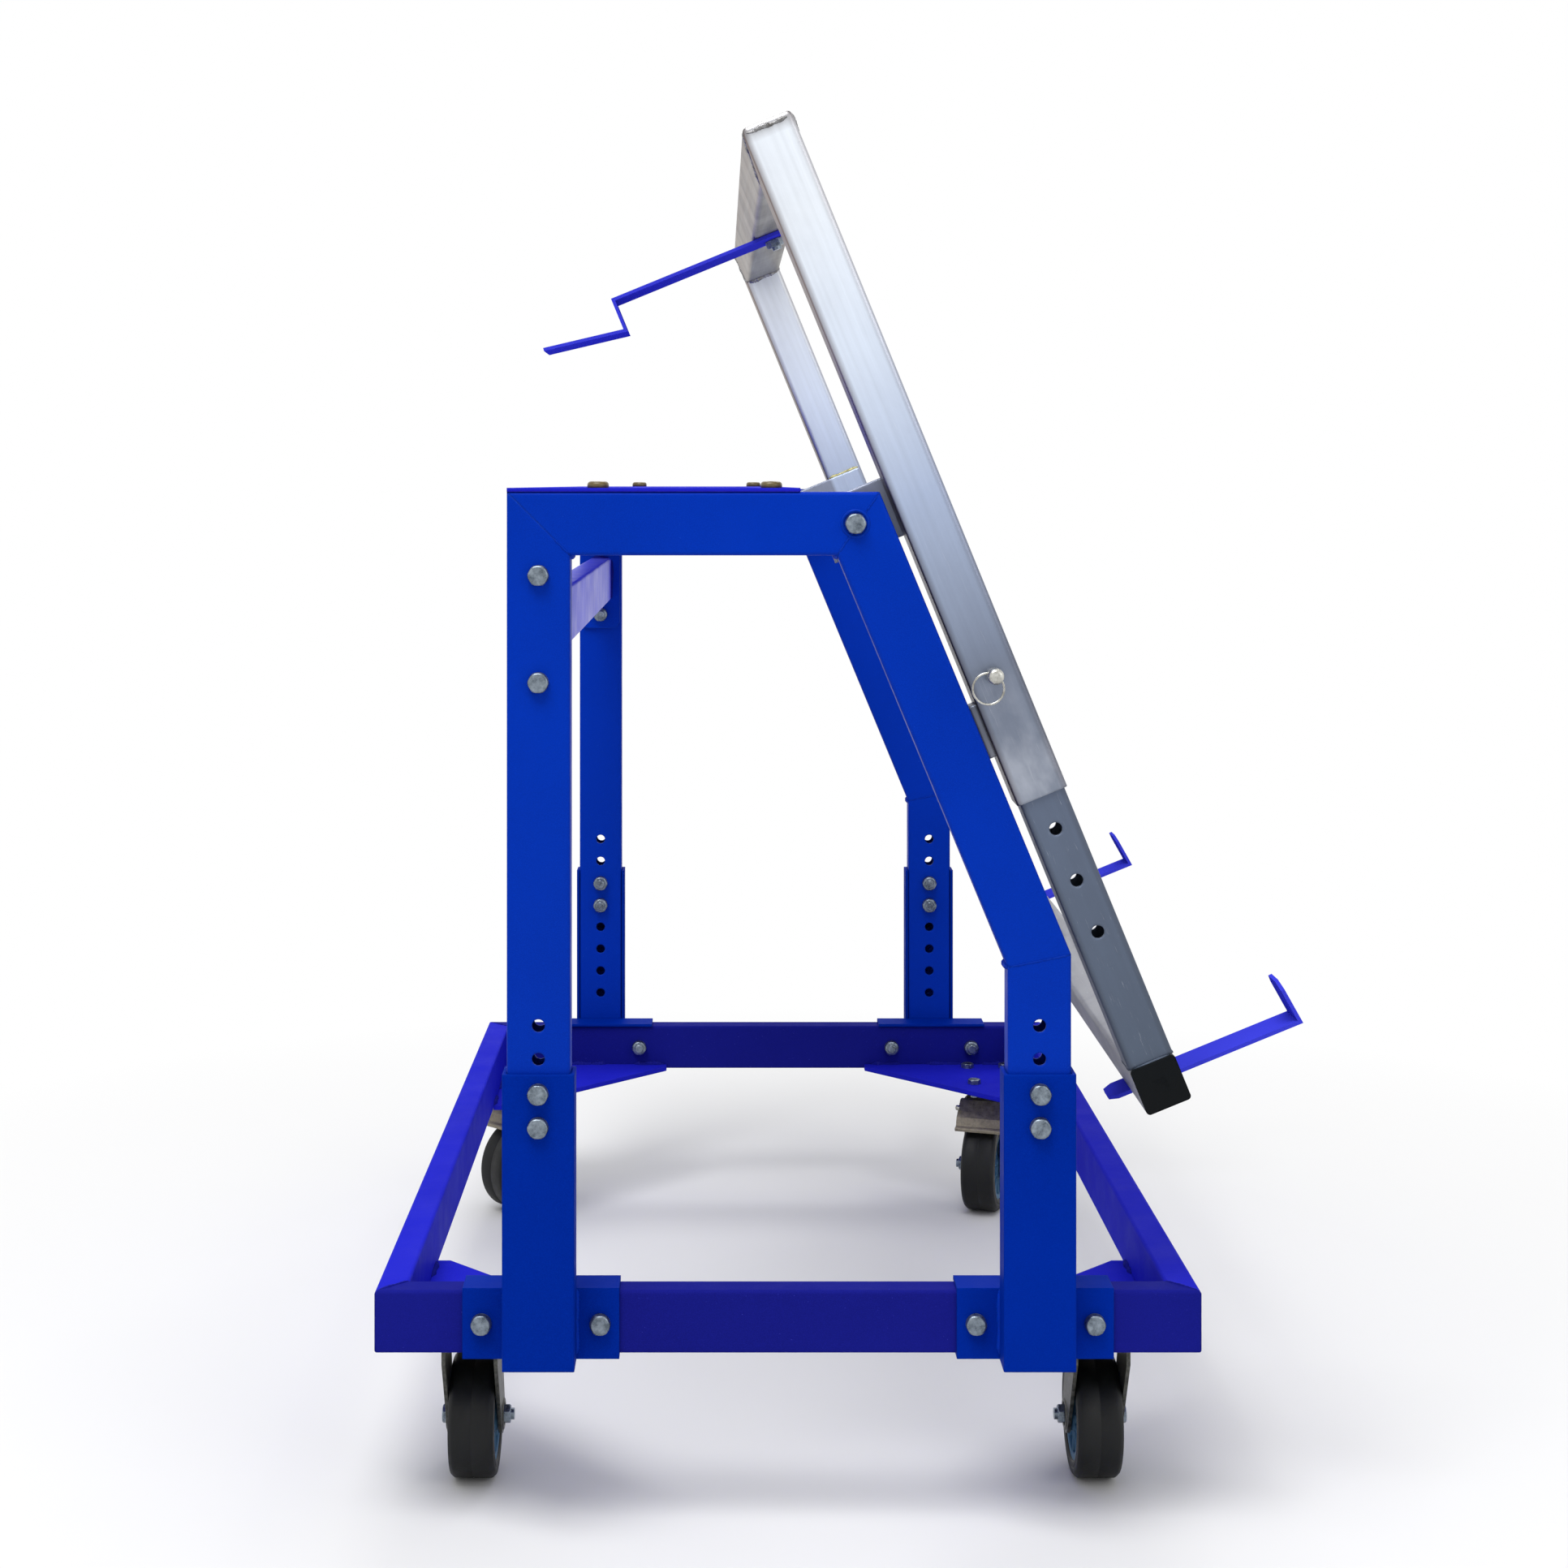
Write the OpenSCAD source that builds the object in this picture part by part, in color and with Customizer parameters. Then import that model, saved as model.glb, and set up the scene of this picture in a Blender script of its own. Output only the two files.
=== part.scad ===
// Panel cart: a tilting rack with a telescoping lower part, hung between two end frames
// that stand on a four-wheel base. Lengths are in millimetres.
// X runs across the cart with the rack's front at +X, Y runs along it, Z is up from the floor.
// The near end is at -Y and the far end at +Y. Left is -X and right is +X.

/* [Base frame] */
// Width of the base, side to side
base_width = 670; // [600:1:760]
// Length of the base, end to end
base_length = 965; // [860:1:1100]
// Height of the base tube
base_tube_h = 50.8; // [46:0.1:56]
// Thickness of the base tube
base_tube_t = 25.4; // [22:0.1:30]
// Wall of the base and end frame tubes
steel_wall = 2.6; // [2:0.1:3.2]
// Outer corner radius of the base and end frame tubes
steel_corner = 2.8; // [1.5:0.1:4]
// Side of a corner plate, measured from the outer corner of the base
corner_plate_side = 216; // [205:1:240]
// Thickness of a corner plate
corner_plate_t = 5; // [4:0.1:7]
// Width of a corner plate's two tips
corner_plate_tip = 12; // [8:0.5:16]

/* [Leg brackets] */
// Distance between the centres of an end frame's two legs
leg_spacing = 400; // [360:1:440]
// Width of a saddle that wraps the base tube
saddle_width = 127; // [115:1:140]
// Depth of a saddle's flanges over the base tube
saddle_reach = 28.6; // [26:0.1:36]
// Plate thickness of the saddles
saddle_t = 3.2; // [2.5:0.1:4]
// Plate thickness of the leg sockets
socket_t = 3.2; // [2.5:0.1:4]
// Height of a leg socket
socket_height = 236.8; // [225:0.1:260]
// Length of a leg socket below the underside of the base
socket_drop = 3.1; // [2:0.1:8]
// Clearance round a leg in its socket
leg_fit = 0.3; // [0.1:0.05:0.5]
// Distance from a saddle's centre to each of its bolts
saddle_bolt_reach = 48; // [46:0.5:53]

/* [End frames] */
// Width of the end frame tube, seen from the end of the cart
frame_tube_w = 50.8; // [46:0.1:56]
// Depth of the end frame tube, along the cart
frame_tube_t = 25.4; // [22:0.1:30]
// Height of the end frames' top above the underside of the base
frame_rise = 698.1; // [660:0.1:760]
// Length of an end frame's top edge
top_bar_length = 297.8; // [285:0.1:310]
// Slope of the front leg, from vertical
leg_slope = 22.5; // [21:0.1:24]
// Distance between the adjusting holes in the legs
leg_hole_pitch = 26.7; // [25:0.1:30]
// Number of adjusting holes below the two bolted ones
leg_holes_below = 4; // [3:1:4]
// Number of adjusting holes above the two bolted ones
leg_holes_above = 2; // [1:1:2]
// Height of a leg's lower bolt above the underside of the base
leg_bolt_rise = 191.9; // [186:0.1:196]
// Length of a leg below its lowest hole
leg_tail = 40; // [30:1:50]

/* [Cross-beam and deck] */
// Height of the cross-beam
beam_h = 50.8; // [46:0.1:56]
// Thickness of the cross-beam
beam_t = 25.4; // [22:0.1:30]
// Distance from the end frames' top down to the cross-beam's upper bolts
beam_bolt_drop = 66.7; // [62:0.1:75]
// Distance between the cross-beam's bolts at one end
beam_bolt_pitch = 85.5; // [80:0.1:95]
// Width of the cross-beam's end plates
beam_plate_w = 47; // [40:0.5:50]
// Length of the cross-beam's end plates past their bolts
beam_plate_margin = 17; // [14:0.5:20]
// Thickness of the cross-beam's end plates
beam_plate_t = 4.8; // [4:0.1:6]
// Width of the deck plate
deck_width = 234.6; // [220:0.1:240]
// Thickness of the deck plate
deck_t = 3.2; // [2.5:0.1:4]
// Diameter of a bumper
bumper_d = 17.5; // [14:0.1:20]
// Distance from the deck's left edge to the left bumpers
bumper_left = 72.4; // [60:0.1:90]
// Distance from the deck's right edge to the right bumpers
bumper_right = 23; // [18:0.1:30]

/* [Tilting rack] */
// Lean of the rack at rest, from vertical
rack_lean = 22.25; // [22:0.05:22.5]
// Distance from the top bar's right corner back to the pivot
pivot_inset = 19.3; // [17:0.1:22]
// Gap between the front legs and the rack's tubes at the pivot
rack_gap = 6.85; // [6.2:0.05:8]
// Side of the rack's outer square tube
outer_tube = 43; // [42.5:0.1:44]
// Wall of the outer square tube
outer_wall = 2.2; // [2:0.05:2.2]
// Outer corner radius of the outer square tube
outer_corner = 4; // [2:0.1:5]
// Length of the rack's side tubes above the pivot
rack_above = 325.6; // [310:0.1:345]
// Length of the rack's side tubes below the pivot
rack_below = 258; // [245:0.1:262]
// Length of a pivot bracket, across the tube
bracket_length = 101.6; // [92:0.1:106]
// Width of a pivot bracket
bracket_width = 50.8; // [44:0.1:56]
// Thickness of a pivot bracket
bracket_t = 4.8; // [4:0.1:6]
// Length of the stop pads that rest on the front legs
stop_pad_length = 44.6; // [38:0.1:50]
// Distance from the pivot down to the stop pads' lower edge
stop_pad_end = 214.9; // [205:0.1:225]

/* [Telescoping part] */
// Side of the inner square tube
inner_tube = 38.1; // [37.5:0.1:38.3]
// Wall of the inner square tube
inner_wall = 2.4; // [2:0.05:3]
// Outer corner radius of the inner square tube
inner_corner = 3.2; // [2:0.1:4]
// Distance from the pivot down to the lock pins
pin_drop = 152.9; // [145:0.1:160]
// Distance between the holes of the inner tubes
inner_hole_pitch = 44.45; // [44:0.05:45]
// Number of holes in each inner tube
inner_holes = 6; // [5:1:6]
// Length of an inner tube above its top hole
inner_tube_top = 25.4; // [20:0.1:40]
// Distance from the pivot down to the lower cross tube
lower_cross_drop = 487.6; // [487:0.1:505]

/* [Hooks] */
// Width of the bottom hooks
hook_width = 38.1; // [32:0.1:44]
// Plate thickness of all the hooks
hook_t = 3.2; // [2.5:0.1:4]
// Distance from the middle of the cart to each bottom hook
hook_place = 410; // [380:1:430]
// Reach of a bottom hook from the pivot's line to its lip
hook_reach = 191.5; // [170:0.1:210]
// Distance from the pivot's line to a bottom hook's back end
hook_back = 18; // [14:0.1:24]
// Height of a bottom hook's lip
hook_lip = 38; // [32:0.5:44]
// Lean of a bottom hook's lip towards the rack
hook_lip_lean = 7; // [3:0.5:10]
// Width of the top hook
top_hook_width = 76.2; // [60:0.1:85]
// Length of the top hook's plate in front of its bolt
top_hook_nose = 21; // [18:0.1:24]
// Reach of the top hook's arm, from its bolt
top_hook_arm = 173; // [150:0.5:185]
// Depth of the top hook's step
top_hook_step = 33; // [25:0.5:40]
// Length of the top hook's flared end
top_hook_flare = 84; // [70:0.5:90]
// Angle of the flared end from the arm
top_hook_flare_angle = 9; // [5:0.5:12]

/* [Bolts and pins] */
// Diameter of the frame bolts
bolt_d = 10; // [9:0.1:10.4]
// Diameter of the bolt holes
bolt_hole_d = 10.4; // [10.4:0.1:11]
// Size across the flats of the bolt heads and nuts
bolt_flats = 16; // [15:0.1:17]
// Height of the bolt heads
bolt_head_h = 6.4; // [5.5:0.1:7]
// Height of the nuts
nut_h = 8; // [6:0.1:8.4]
// Length of thread that stands out of a nut
thread_out = 3; // [1:0.5:5]
// Clearance of the pivots and wheels on their shafts, on the radius
running_fit = 0.05; // [0.03:0.01:0.09]
// Gap beside a part that turns or slides
side_gap = 0.3; // [0.2:0.05:0.5]
// Diameter of a lock pin's shank
pin_d = 9.5; // [9:0.1:9.8]
// Diameter of a lock pin's head
pin_head_d = 13; // [12:0.1:14]
// Distance that a lock pin's head stands out from the tube
pin_out = 25; // [24:0.5:28]
// Distance that a lock pin pushes in
pin_travel = 10; // [9:0.5:11]
// Outer diameter of a lock pin's ring
ring_d = 26.8; // [26:0.1:29]
// Thickness of the ring's wire
ring_wire = 2; // [1.6:0.1:2.2]
// Turn of the ring from straight down, towards the legs
ring_turn = 30; // [0:1:40]

/* [Casters] */
// Diameter of the wheels
wheel_d = 101.6; // [95:0.1:110]
// Width of the tyres
tyre_width = 38.5; // [34:0.5:40]
// Radius of the tyres' shoulders
tyre_shoulder = 6; // [4:0.5:9]
// Diameter of the wheel centres
wheel_centre_d = 74; // [64:0.5:78]
// Distance of a wheel's axle behind its swivel axis
trail = 32; // [28:0.5:36]
// Turn of the far right caster away from the cart's length
far_right_turn = 17; // [0:1:60]
// Turn of the far left caster away from the cart's length
far_left_turn = 43; // [0:1:60]
// Gap between the wheel's top and the fork's crown
crown_gap = 22.6; // [21:0.1:27]
// Height of each swivel race
race_h = 6; // [5:0.1:7]
// Diameter of the swivel races
race_d = 54; // [48:0.5:58]
// Diameter of the kingpins
kingpin_d = 12; // [10:0.1:14]
// Metal thickness of the forks and mounting plates
fork_t = 3.2; // [2.8:0.1:3.6]
// Diameter of the wheel axles
axle_d = 9.5; // [8:0.1:10]
// Distance from the base's outer side to the swivel axis
caster_inset_x = 71; // [69:0.5:74]
// Distance from the base's outer end to the swivel axis
caster_inset_y = 79.5; // [77:0.5:90]
// Length of a caster's mounting plate
mount_plate_l = 95.2; // [92:0.1:98]
// Width of a caster's mounting plate
mount_plate_w = 60.3; // [58:0.1:63]
// Distance between a caster's bolts along the cart
caster_bolt_l = 76.2; // [74:0.1:78]
// Distance between a caster's bolts across the cart
caster_bolt_w = 44.4; // [43:0.1:45]
// Diameter of the caster bolts
caster_bolt_d = 8; // [7:0.1:8.2]
// Size across the flats of the caster bolts
caster_bolt_flats = 13; // [12:0.1:14]
// Width of a brake pedal's tread
pedal_width = 56; // [52:0.5:60]
// Diameter of the brake pedals' pins
pedal_pin_d = 6; // [5:0.1:7]

/* [Hidden] */

$fn = 48;
base_blue = [0.10, 0.09, 0.55];
frame_blue = [0.0, 0.18, 0.65];
silver = [0.72, 0.74, 0.80];
zinc = [0.61, 0.62, 0.64];
near = -1;
far = 1;
left = -1;
right = 1;

// Heights of the caster's layers, from the floor up
axle_z = wheel_d / 2;
crown_z = wheel_d + crown_gap;
lower_race_z = crown_z + fork_t;
upper_race_z = lower_race_z + race_h + side_gap;
mount_plate_z = upper_race_z + race_h;
base_z = mount_plate_z + fork_t;
base_top = base_z + base_tube_h;
corner_plate_top = base_z + corner_plate_t;
caster_x = base_width / 2 - caster_inset_x;
caster_y = base_length / 2 - caster_inset_y;

// The end frames' outline, in the plane that stands across the cart
frame_top = base_z + frame_rise;
post_x = -leg_spacing / 2;
lower_leg_x = leg_spacing / 2;
post_outer = post_x - frame_tube_w / 2;
leg_outer = lower_leg_x + frame_tube_w / 2;
corner_x = post_outer + top_bar_length;
knee_z = frame_top - (leg_outer - corner_x) / tan(leg_slope);
lower_bolt_z = base_z + leg_bolt_rise;
lowest_hole_z = lower_bolt_z - leg_holes_below * leg_hole_pitch;
leg_bottom = lowest_hole_z - leg_tail;
leg_hole_count = leg_holes_below + 2 + leg_holes_above;
beam_upper_bolt_z = frame_top - beam_bolt_drop;
beam_lower_bolt_z = beam_upper_bolt_z - beam_bolt_pitch;
deck_top = frame_top + deck_t;

// Places along the cart, measured out from its middle
saddle_face = base_length / 2 + saddle_t;
leg_inner_y = saddle_face + leg_fit;
leg_mid_y = leg_inner_y + frame_tube_t / 2;
leg_outer_y = leg_inner_y + frame_tube_t;
socket_outer_y = leg_outer_y + leg_fit + socket_t;
tube_inner_y = leg_outer_y - outer_tube;
rack_mid_y = leg_outer_y - outer_tube / 2;
bracket_inner_y = tube_inner_y - bracket_t;
inner_outer_y = rack_mid_y + inner_tube / 2;

// The rack's own frame: x stands out from it to the front, z runs up along it
pivot_x = corner_x - pivot_inset;
pivot_z = frame_top - frame_tube_w / 2;
leg_face = pivot_inset * cos(leg_slope) + frame_tube_w / 2 * sin(leg_slope);
rack_back = leg_face + rack_gap;
rack_front = rack_back + outer_tube;
rack_mid = rack_back + outer_tube / 2;
inner_back = rack_mid - inner_tube / 2;
inner_front = rack_mid + inner_tube / 2;
top_cross_under = rack_above - outer_tube;
lower_cross_under = lower_cross_drop + inner_tube;
// The front leg's face leans a little more than the rack, so the gap narrows downwards
lean_difference = leg_slope - rack_lean;
stop_pad_t = rack_back - leg_face / cos(lean_difference) - stop_pad_end * tan(lean_difference) - 0.05;
bumper_h = pivot_z + rack_back - side_gap - deck_top;

// Widths across a caster, measured out from its middle
hub_half = tyre_width / 2 + 0.7;
fork_inner = hub_half + side_gap;
fork_outer = fork_inner + fork_t;
ear_inner = fork_outer + side_gap;
ear_t = 2.5;
ear_outer = ear_inner + ear_t;
fork_half_length = 22;
axle_boss_r = 15.5;
pedal_pin_y = 14;
pedal_pin_z = crown_z - 7;
pedal_t = 3;

// Middle of the whole cart across, which stands over the origin
front_end = pivot_x + hook_reach * cos(rack_lean) + (lower_cross_under + hook_t) * sin(rack_lean);
middle_x = (front_end - base_width / 2) / 2;

// Outline of a tube or plate with round corners
module rounded_outline(w, h, r) {
    square([w - 2 * r, h], center = true);
    square([w, h - 2 * r], center = true);
    for (x = [-1, 1], y = [-1, 1])
        translate([x * (w / 2 - r), y * (h / 2 - r)]) circle(r = r, $fn = 24);
}

// Hollow tube that runs up from the origin
module tube_up(w, h, wall, r, length)
    linear_extrude(length) difference() {
        rounded_outline(w, h, r);
        rounded_outline(w - 2 * wall, h - 2 * wall, max(r - wall, 0.4));
    }

// Block that removes all that lies beyond a point, in the direction that turn gives to +X
module beyond(point, turn) {
    size = 4 * frame_tube_w;
    translate(point) rotate(turn) translate([0, -size / 2, -size / 2]) cube(size);
}

// Round hole along the cart's length, through everything near y
module hole_along_y(x, y, z, d, length = 60)
    translate([x, y - length / 2, z]) rotate([-90, 0, 0]) cylinder(d = d, h = length);

// Bolt with a hex head below the origin and its shank pointing up
module hex_bolt(d, flats, head_h, length) {
    translate([0, 0, -head_h]) intersection() {
        cylinder(d = flats / cos(30), h = head_h, $fn = 6);
        // A cone trims the corners of the head's outer face
        cylinder(d1 = flats * 0.95, d2 = flats * 0.95 + 2 * head_h / tan(30), h = head_h);
    }
    cylinder(d = d, h = length);
}

// Nut with its seat at the origin, on a bolt that points up
module hex_nut(d, flats, height)
    difference() {
        intersection() {
            cylinder(d = flats / cos(30), h = height, $fn = 6);
            cylinder(d1 = flats * 0.95 + 2 * height / tan(30), d2 = flats * 0.95, h = height);
        }
        translate([0, 0, -1]) cylinder(d = d, h = height + 2);
    }

// Bolt and nut that clamp a stack of the given thickness, pointing up from the stack's underside
module bolted(d, flats, head_h, nut, stack) {
    hex_bolt(d, flats, head_h, stack + nut + thread_out);
    translate([0, 0, stack]) hex_nut(d, flats, nut);
}

// Frame bolt whose head sits on an outer face, pointing in towards the cart's middle
module frame_bolt(x, y_outer, z, stack)
    translate([x, y_outer, z]) rotate([-90, 0, 0])
        bolted(bolt_d, bolt_flats, bolt_head_h, nut_h, stack);

// A piece drawn at the near end, put at either end
module at_end(end) {
    if (end == near) children();
    else mirror([0, 1, 0]) children();
}

module both_ends() {
    children();
    mirror([0, 1, 0]) children();
}

// A piece drawn in the rack's own frame, put at its place and lean
module on_rack() translate([pivot_x, 0, pivot_z]) rotate([0, -rack_lean, 0]) children();

// The cart stands over the origin
module placed() translate([-middle_x, 0, 0]) children();

// Sheet bent along a line of points: its two sides are offset from the line by half its thickness
function unit(v) = v / norm(v);
function turned(v) = [-v.y, v.x];
function bent_side(p, s) = [
    for (i = [0:len(p) - 1])
        let (a = unit(p[max(i, 1)] - p[max(i, 1) - 1]),
             b = unit(p[min(i, len(p) - 2) + 1] - p[min(i, len(p) - 2)]),
             n = unit(turned(a) + turned(b)))
        p[i] + n * s / (n * turned(a))
];
function backwards(p) = [for (i = [len(p) - 1:-1:0]) p[i]];
module bent_strip(p, t) polygon(concat(bent_side(p, t / 2), backwards(bent_side(p, -t / 2))));

// Solid swept along the cart's length from an outline drawn in x and z
module swept_along_y(width)
    translate([0, width / 2, 0]) rotate([90, 0, 0]) linear_extrude(width) children();

// Solid swept across a caster from an outline drawn in y and z
module swept_across(x, width)
    translate([x, 0, 0]) rotate([90, 0, 90]) linear_extrude(width) children();

// Base frame
module base_end(end)
    color(base_blue) placed() at_end(end) difference() {
        translate([-base_width / 2, -base_length / 2 + base_tube_t / 2, base_z + base_tube_h / 2])
            rotate([0, 90, 0])
            tube_up(base_tube_h, base_tube_t, steel_wall, steel_corner, base_width);
        for (s = [left, right]) {
            beyond([s * base_width / 2, -base_length / 2, base_z], [0, 0, 90 - s * 45]);
            for (t = [left, right])
                hole_along_y(s * leg_spacing / 2 + t * saddle_bolt_reach, -base_length / 2,
                    base_z + base_tube_h / 2, bolt_hole_d, 4 * base_tube_t);
        }
    }

module base_rail(side)
    color(base_blue) placed() difference() {
        translate([side * (base_width - base_tube_t) / 2, base_length / 2, base_z + base_tube_h / 2])
            rotate([90, 0, 0])
            tube_up(base_tube_t, base_tube_h, steel_wall, steel_corner, base_length);
        for (e = [near, far])
            beyond([side * base_width / 2, e * base_length / 2, base_z],
                [0, 0, e * (90 + side * 45)]);
    }

module caster_bolt_places()
    for (x = [-1, 1], y = [-1, 1])
        translate([x * caster_bolt_w / 2, y * caster_bolt_l / 2, 0]) children();

// Corner plate of the near right corner
module corner_plate() {
    inner_x = base_width / 2 - base_tube_t;
    inner_y = base_length / 2 - base_tube_t;
    end_x = base_width / 2 - corner_plate_side;
    end_y = base_length / 2 - corner_plate_side;
    difference() {
        translate([0, 0, base_z]) linear_extrude(corner_plate_t) polygon([
            [inner_x, -inner_y], [inner_x, -end_y], [inner_x - corner_plate_tip, -end_y],
            [end_x, -inner_y + corner_plate_tip], [end_x, -inner_y]
        ]);
        translate([caster_x, -caster_y, base_z - 1]) caster_bolt_places()
            cylinder(d = caster_bolt_d + 0.6, h = corner_plate_t + 2);
    }
}

module corner_plates()
    color(base_blue) placed() both_ends() {
        corner_plate();
        mirror([1, 0, 0]) corner_plate();
    }

// Saddle that wraps the near base tube, open towards the cart's middle
module saddle() {
    y_out = -base_length / 2;
    difference() {
        translate([-saddle_width / 2, y_out - saddle_t, base_z - saddle_t])
            cube([saddle_width, saddle_t + saddle_reach, base_tube_h + 2 * saddle_t]);
        translate([-saddle_width, y_out, base_z])
            cube([2 * saddle_width, saddle_reach + 1, base_tube_h]);
        for (s = [left, right])
            hole_along_y(s * saddle_bolt_reach, y_out, base_z + base_tube_h / 2, bolt_hole_d,
                4 * saddle_t);
    }
}

module saddles()
    color(frame_blue) placed() both_ends()
        for (x = [post_x, lower_leg_x]) translate([x, 0, 0]) saddle();

// Channel that holds a leg against the saddle's web, open towards the cart's middle
module leg_socket() {
    outer_w = frame_tube_w + 2 * (leg_fit + socket_t);
    depth = socket_outer_y - saddle_face;
    difference() {
        translate([0, -saddle_face - depth / 2, base_z - socket_drop]) linear_extrude(socket_height)
            difference() {
                translate([0, 0]) rounded_outline(outer_w, depth, 1.5);
                translate([-outer_w / 2 + socket_t, -depth / 2 + socket_t])
                    square([outer_w - 2 * socket_t, depth]);
                // The flanges meet the saddle with square edges
                translate([-outer_w / 2 + socket_t, 0]) square([outer_w - 2 * socket_t, depth]);
            }
        for (i = [0, 1])
            hole_along_y(0, -socket_outer_y, lower_bolt_z + i * leg_hole_pitch, bolt_hole_d,
                6 * socket_t);
    }
}

module leg_sockets()
    color(frame_blue) placed() both_ends()
        for (x = [post_x, lower_leg_x]) translate([x, 0, 0]) leg_socket();

// End frames
module leg_holes(x)
    for (i = [0:leg_hole_count - 1])
        hole_along_y(x, -leg_mid_y, lowest_hole_z + i * leg_hole_pitch, bolt_hole_d);

module pivot_hole() hole_along_y(pivot_x, -leg_mid_y, pivot_z, bolt_hole_d);

// Tube of an end frame that starts at a point and runs in a direction, from +X towards +Z
module frame_tube(x, z, direction, length)
    translate([x, -leg_mid_y, z]) rotate([0, 90 - direction, 0])
        tube_up(frame_tube_w, frame_tube_t, steel_wall, steel_corner, length);

corner_mitre = 315 + leg_slope / 2;
knee_mitre = 270 + leg_slope / 2;

module post(end)
    color(frame_blue) placed() at_end(end) difference() {
        frame_tube(post_x, leg_bottom, 90, frame_top - leg_bottom);
        beyond([post_outer, -leg_mid_y, frame_top], [0, -45, 0]);
        leg_holes(post_x);
        for (z = [beam_upper_bolt_z, beam_lower_bolt_z])
            hole_along_y(post_x, -leg_mid_y, z, bolt_hole_d);
    }

module top_bar(end)
    color(frame_blue) placed() at_end(end) difference() {
        frame_tube(post_outer, frame_top - frame_tube_w / 2, 0, top_bar_length);
        beyond([post_outer, -leg_mid_y, frame_top], [0, 135, 0]);
        beyond([corner_x, -leg_mid_y, frame_top], [0, -corner_mitre, 0]);
        pivot_hole();
    }

module sloped_leg(end) {
    direction = 270 + leg_slope;
    run = (frame_top - knee_z) / cos(leg_slope);
    spare = frame_tube_w;
    color(frame_blue) placed() at_end(end) difference() {
        frame_tube(
            corner_x - frame_tube_w / 2 * cos(leg_slope) - spare * cos(direction),
            frame_top - frame_tube_w / 2 * sin(leg_slope) - spare * sin(direction),
            direction, run + 2 * spare);
        beyond([corner_x, -leg_mid_y, frame_top], [0, -(corner_mitre - 180), 0]);
        beyond([leg_outer, -leg_mid_y, knee_z], [0, -knee_mitre, 0]);
        pivot_hole();
    }
}

module lower_leg(end)
    color(frame_blue) placed() at_end(end) difference() {
        frame_tube(lower_leg_x, leg_bottom, 90, knee_z + frame_tube_w - leg_bottom);
        beyond([leg_outer, -leg_mid_y, knee_z], [0, -(knee_mitre - 180), 0]);
        leg_holes(lower_leg_x);
    }

// Bolts of the saddles, the legs and the cross-beam
module frame_bolts()
    color(zinc) placed() both_ends() {
        for (x = [post_x, lower_leg_x], s = [left, right])
            frame_bolt(x + s * saddle_bolt_reach, -saddle_face, base_z + base_tube_h / 2,
                saddle_t + base_tube_t);
        for (x = [post_x, lower_leg_x], i = [0, 1])
            frame_bolt(x, -socket_outer_y, lower_bolt_z + i * leg_hole_pitch,
                socket_t + leg_fit + frame_tube_t);
        for (z = [beam_upper_bolt_z, beam_lower_bolt_z])
            frame_bolt(post_x, -leg_outer_y, z, frame_tube_t + beam_plate_t);
    }

// Cross-beam between the posts
beam_mid_z = (beam_upper_bolt_z + beam_lower_bolt_z) / 2;
beam_end_y = leg_inner_y - beam_plate_t;

module cross_beam()
    color(base_blue) placed()
        translate([post_x, beam_end_y, beam_mid_z]) rotate([90, 0, 0])
            tube_up(beam_t, beam_h, steel_wall, steel_corner, 2 * beam_end_y);

module beam_end_plates()
    color(base_blue) placed() both_ends() difference() {
        translate([post_x, -beam_end_y, beam_mid_z]) rotate([90, 0, 0])
            linear_extrude(beam_plate_t)
            rounded_outline(beam_plate_w, beam_bolt_pitch + 2 * beam_plate_margin, 10);
        for (z = [beam_upper_bolt_z, beam_lower_bolt_z])
            hole_along_y(post_x, -beam_end_y, z, bolt_hole_d);
    }

// Deck and bumpers
module top_deck()
    color(base_blue) placed()
        translate([post_outer + deck_width / 2, 0, frame_top]) linear_extrude(deck_t)
            rounded_outline(deck_width, 2 * leg_outer_y, 1.5);

module bumper()
    rotate_extrude() {
        square([bumper_d / 2 - 2, bumper_h]);
        square([bumper_d / 2, bumper_h - 2]);
        translate([bumper_d / 2 - 2, bumper_h - 2]) intersection() {
            circle(r = 2, $fn = 24);
            square(2);
        }
    }

module bumpers()
    color([0.82, 0.78, 0.62]) placed() both_ends()
        for (x = [bumper_left, deck_width - bumper_right])
            translate([post_outer + x, -leg_mid_y, deck_top]) bumper();

// Pivots: a bolt, a spacer and a nut at each end
module pivot_bolts() {
    spacer_l = leg_inner_y - tube_inner_y;
    shank = leg_outer_y - bracket_inner_y + side_gap;
    color(zinc) placed() both_ends() translate([pivot_x, -leg_outer_y, pivot_z]) rotate([-90, 0, 0]) {
        bolted(bolt_d, bolt_flats, bolt_head_h, nut_h, shank);
        translate([0, 0, frame_tube_t]) difference() {
            cylinder(d = 1.9 * bolt_d, h = spacer_l - side_gap);
            translate([0, 0, -1]) cylinder(d = bolt_d, h = spacer_l + 2);
        }
    }
}

// Tilting rack
module side_tube(end)
    color(silver) placed() at_end(end) on_rack() difference() {
        translate([rack_mid, -rack_mid_y, -rack_below])
            tube_up(outer_tube, outer_tube, outer_wall, outer_corner, rack_below + rack_above);
        beyond([rack_mid, -leg_outer_y, rack_above], [0, -45, 90]);
        // Only the outer wall is drilled for the lock pin
        hole_along_y(rack_mid, -leg_outer_y, -pin_drop, pin_d + 2 * running_fit, outer_tube);
    }

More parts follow.
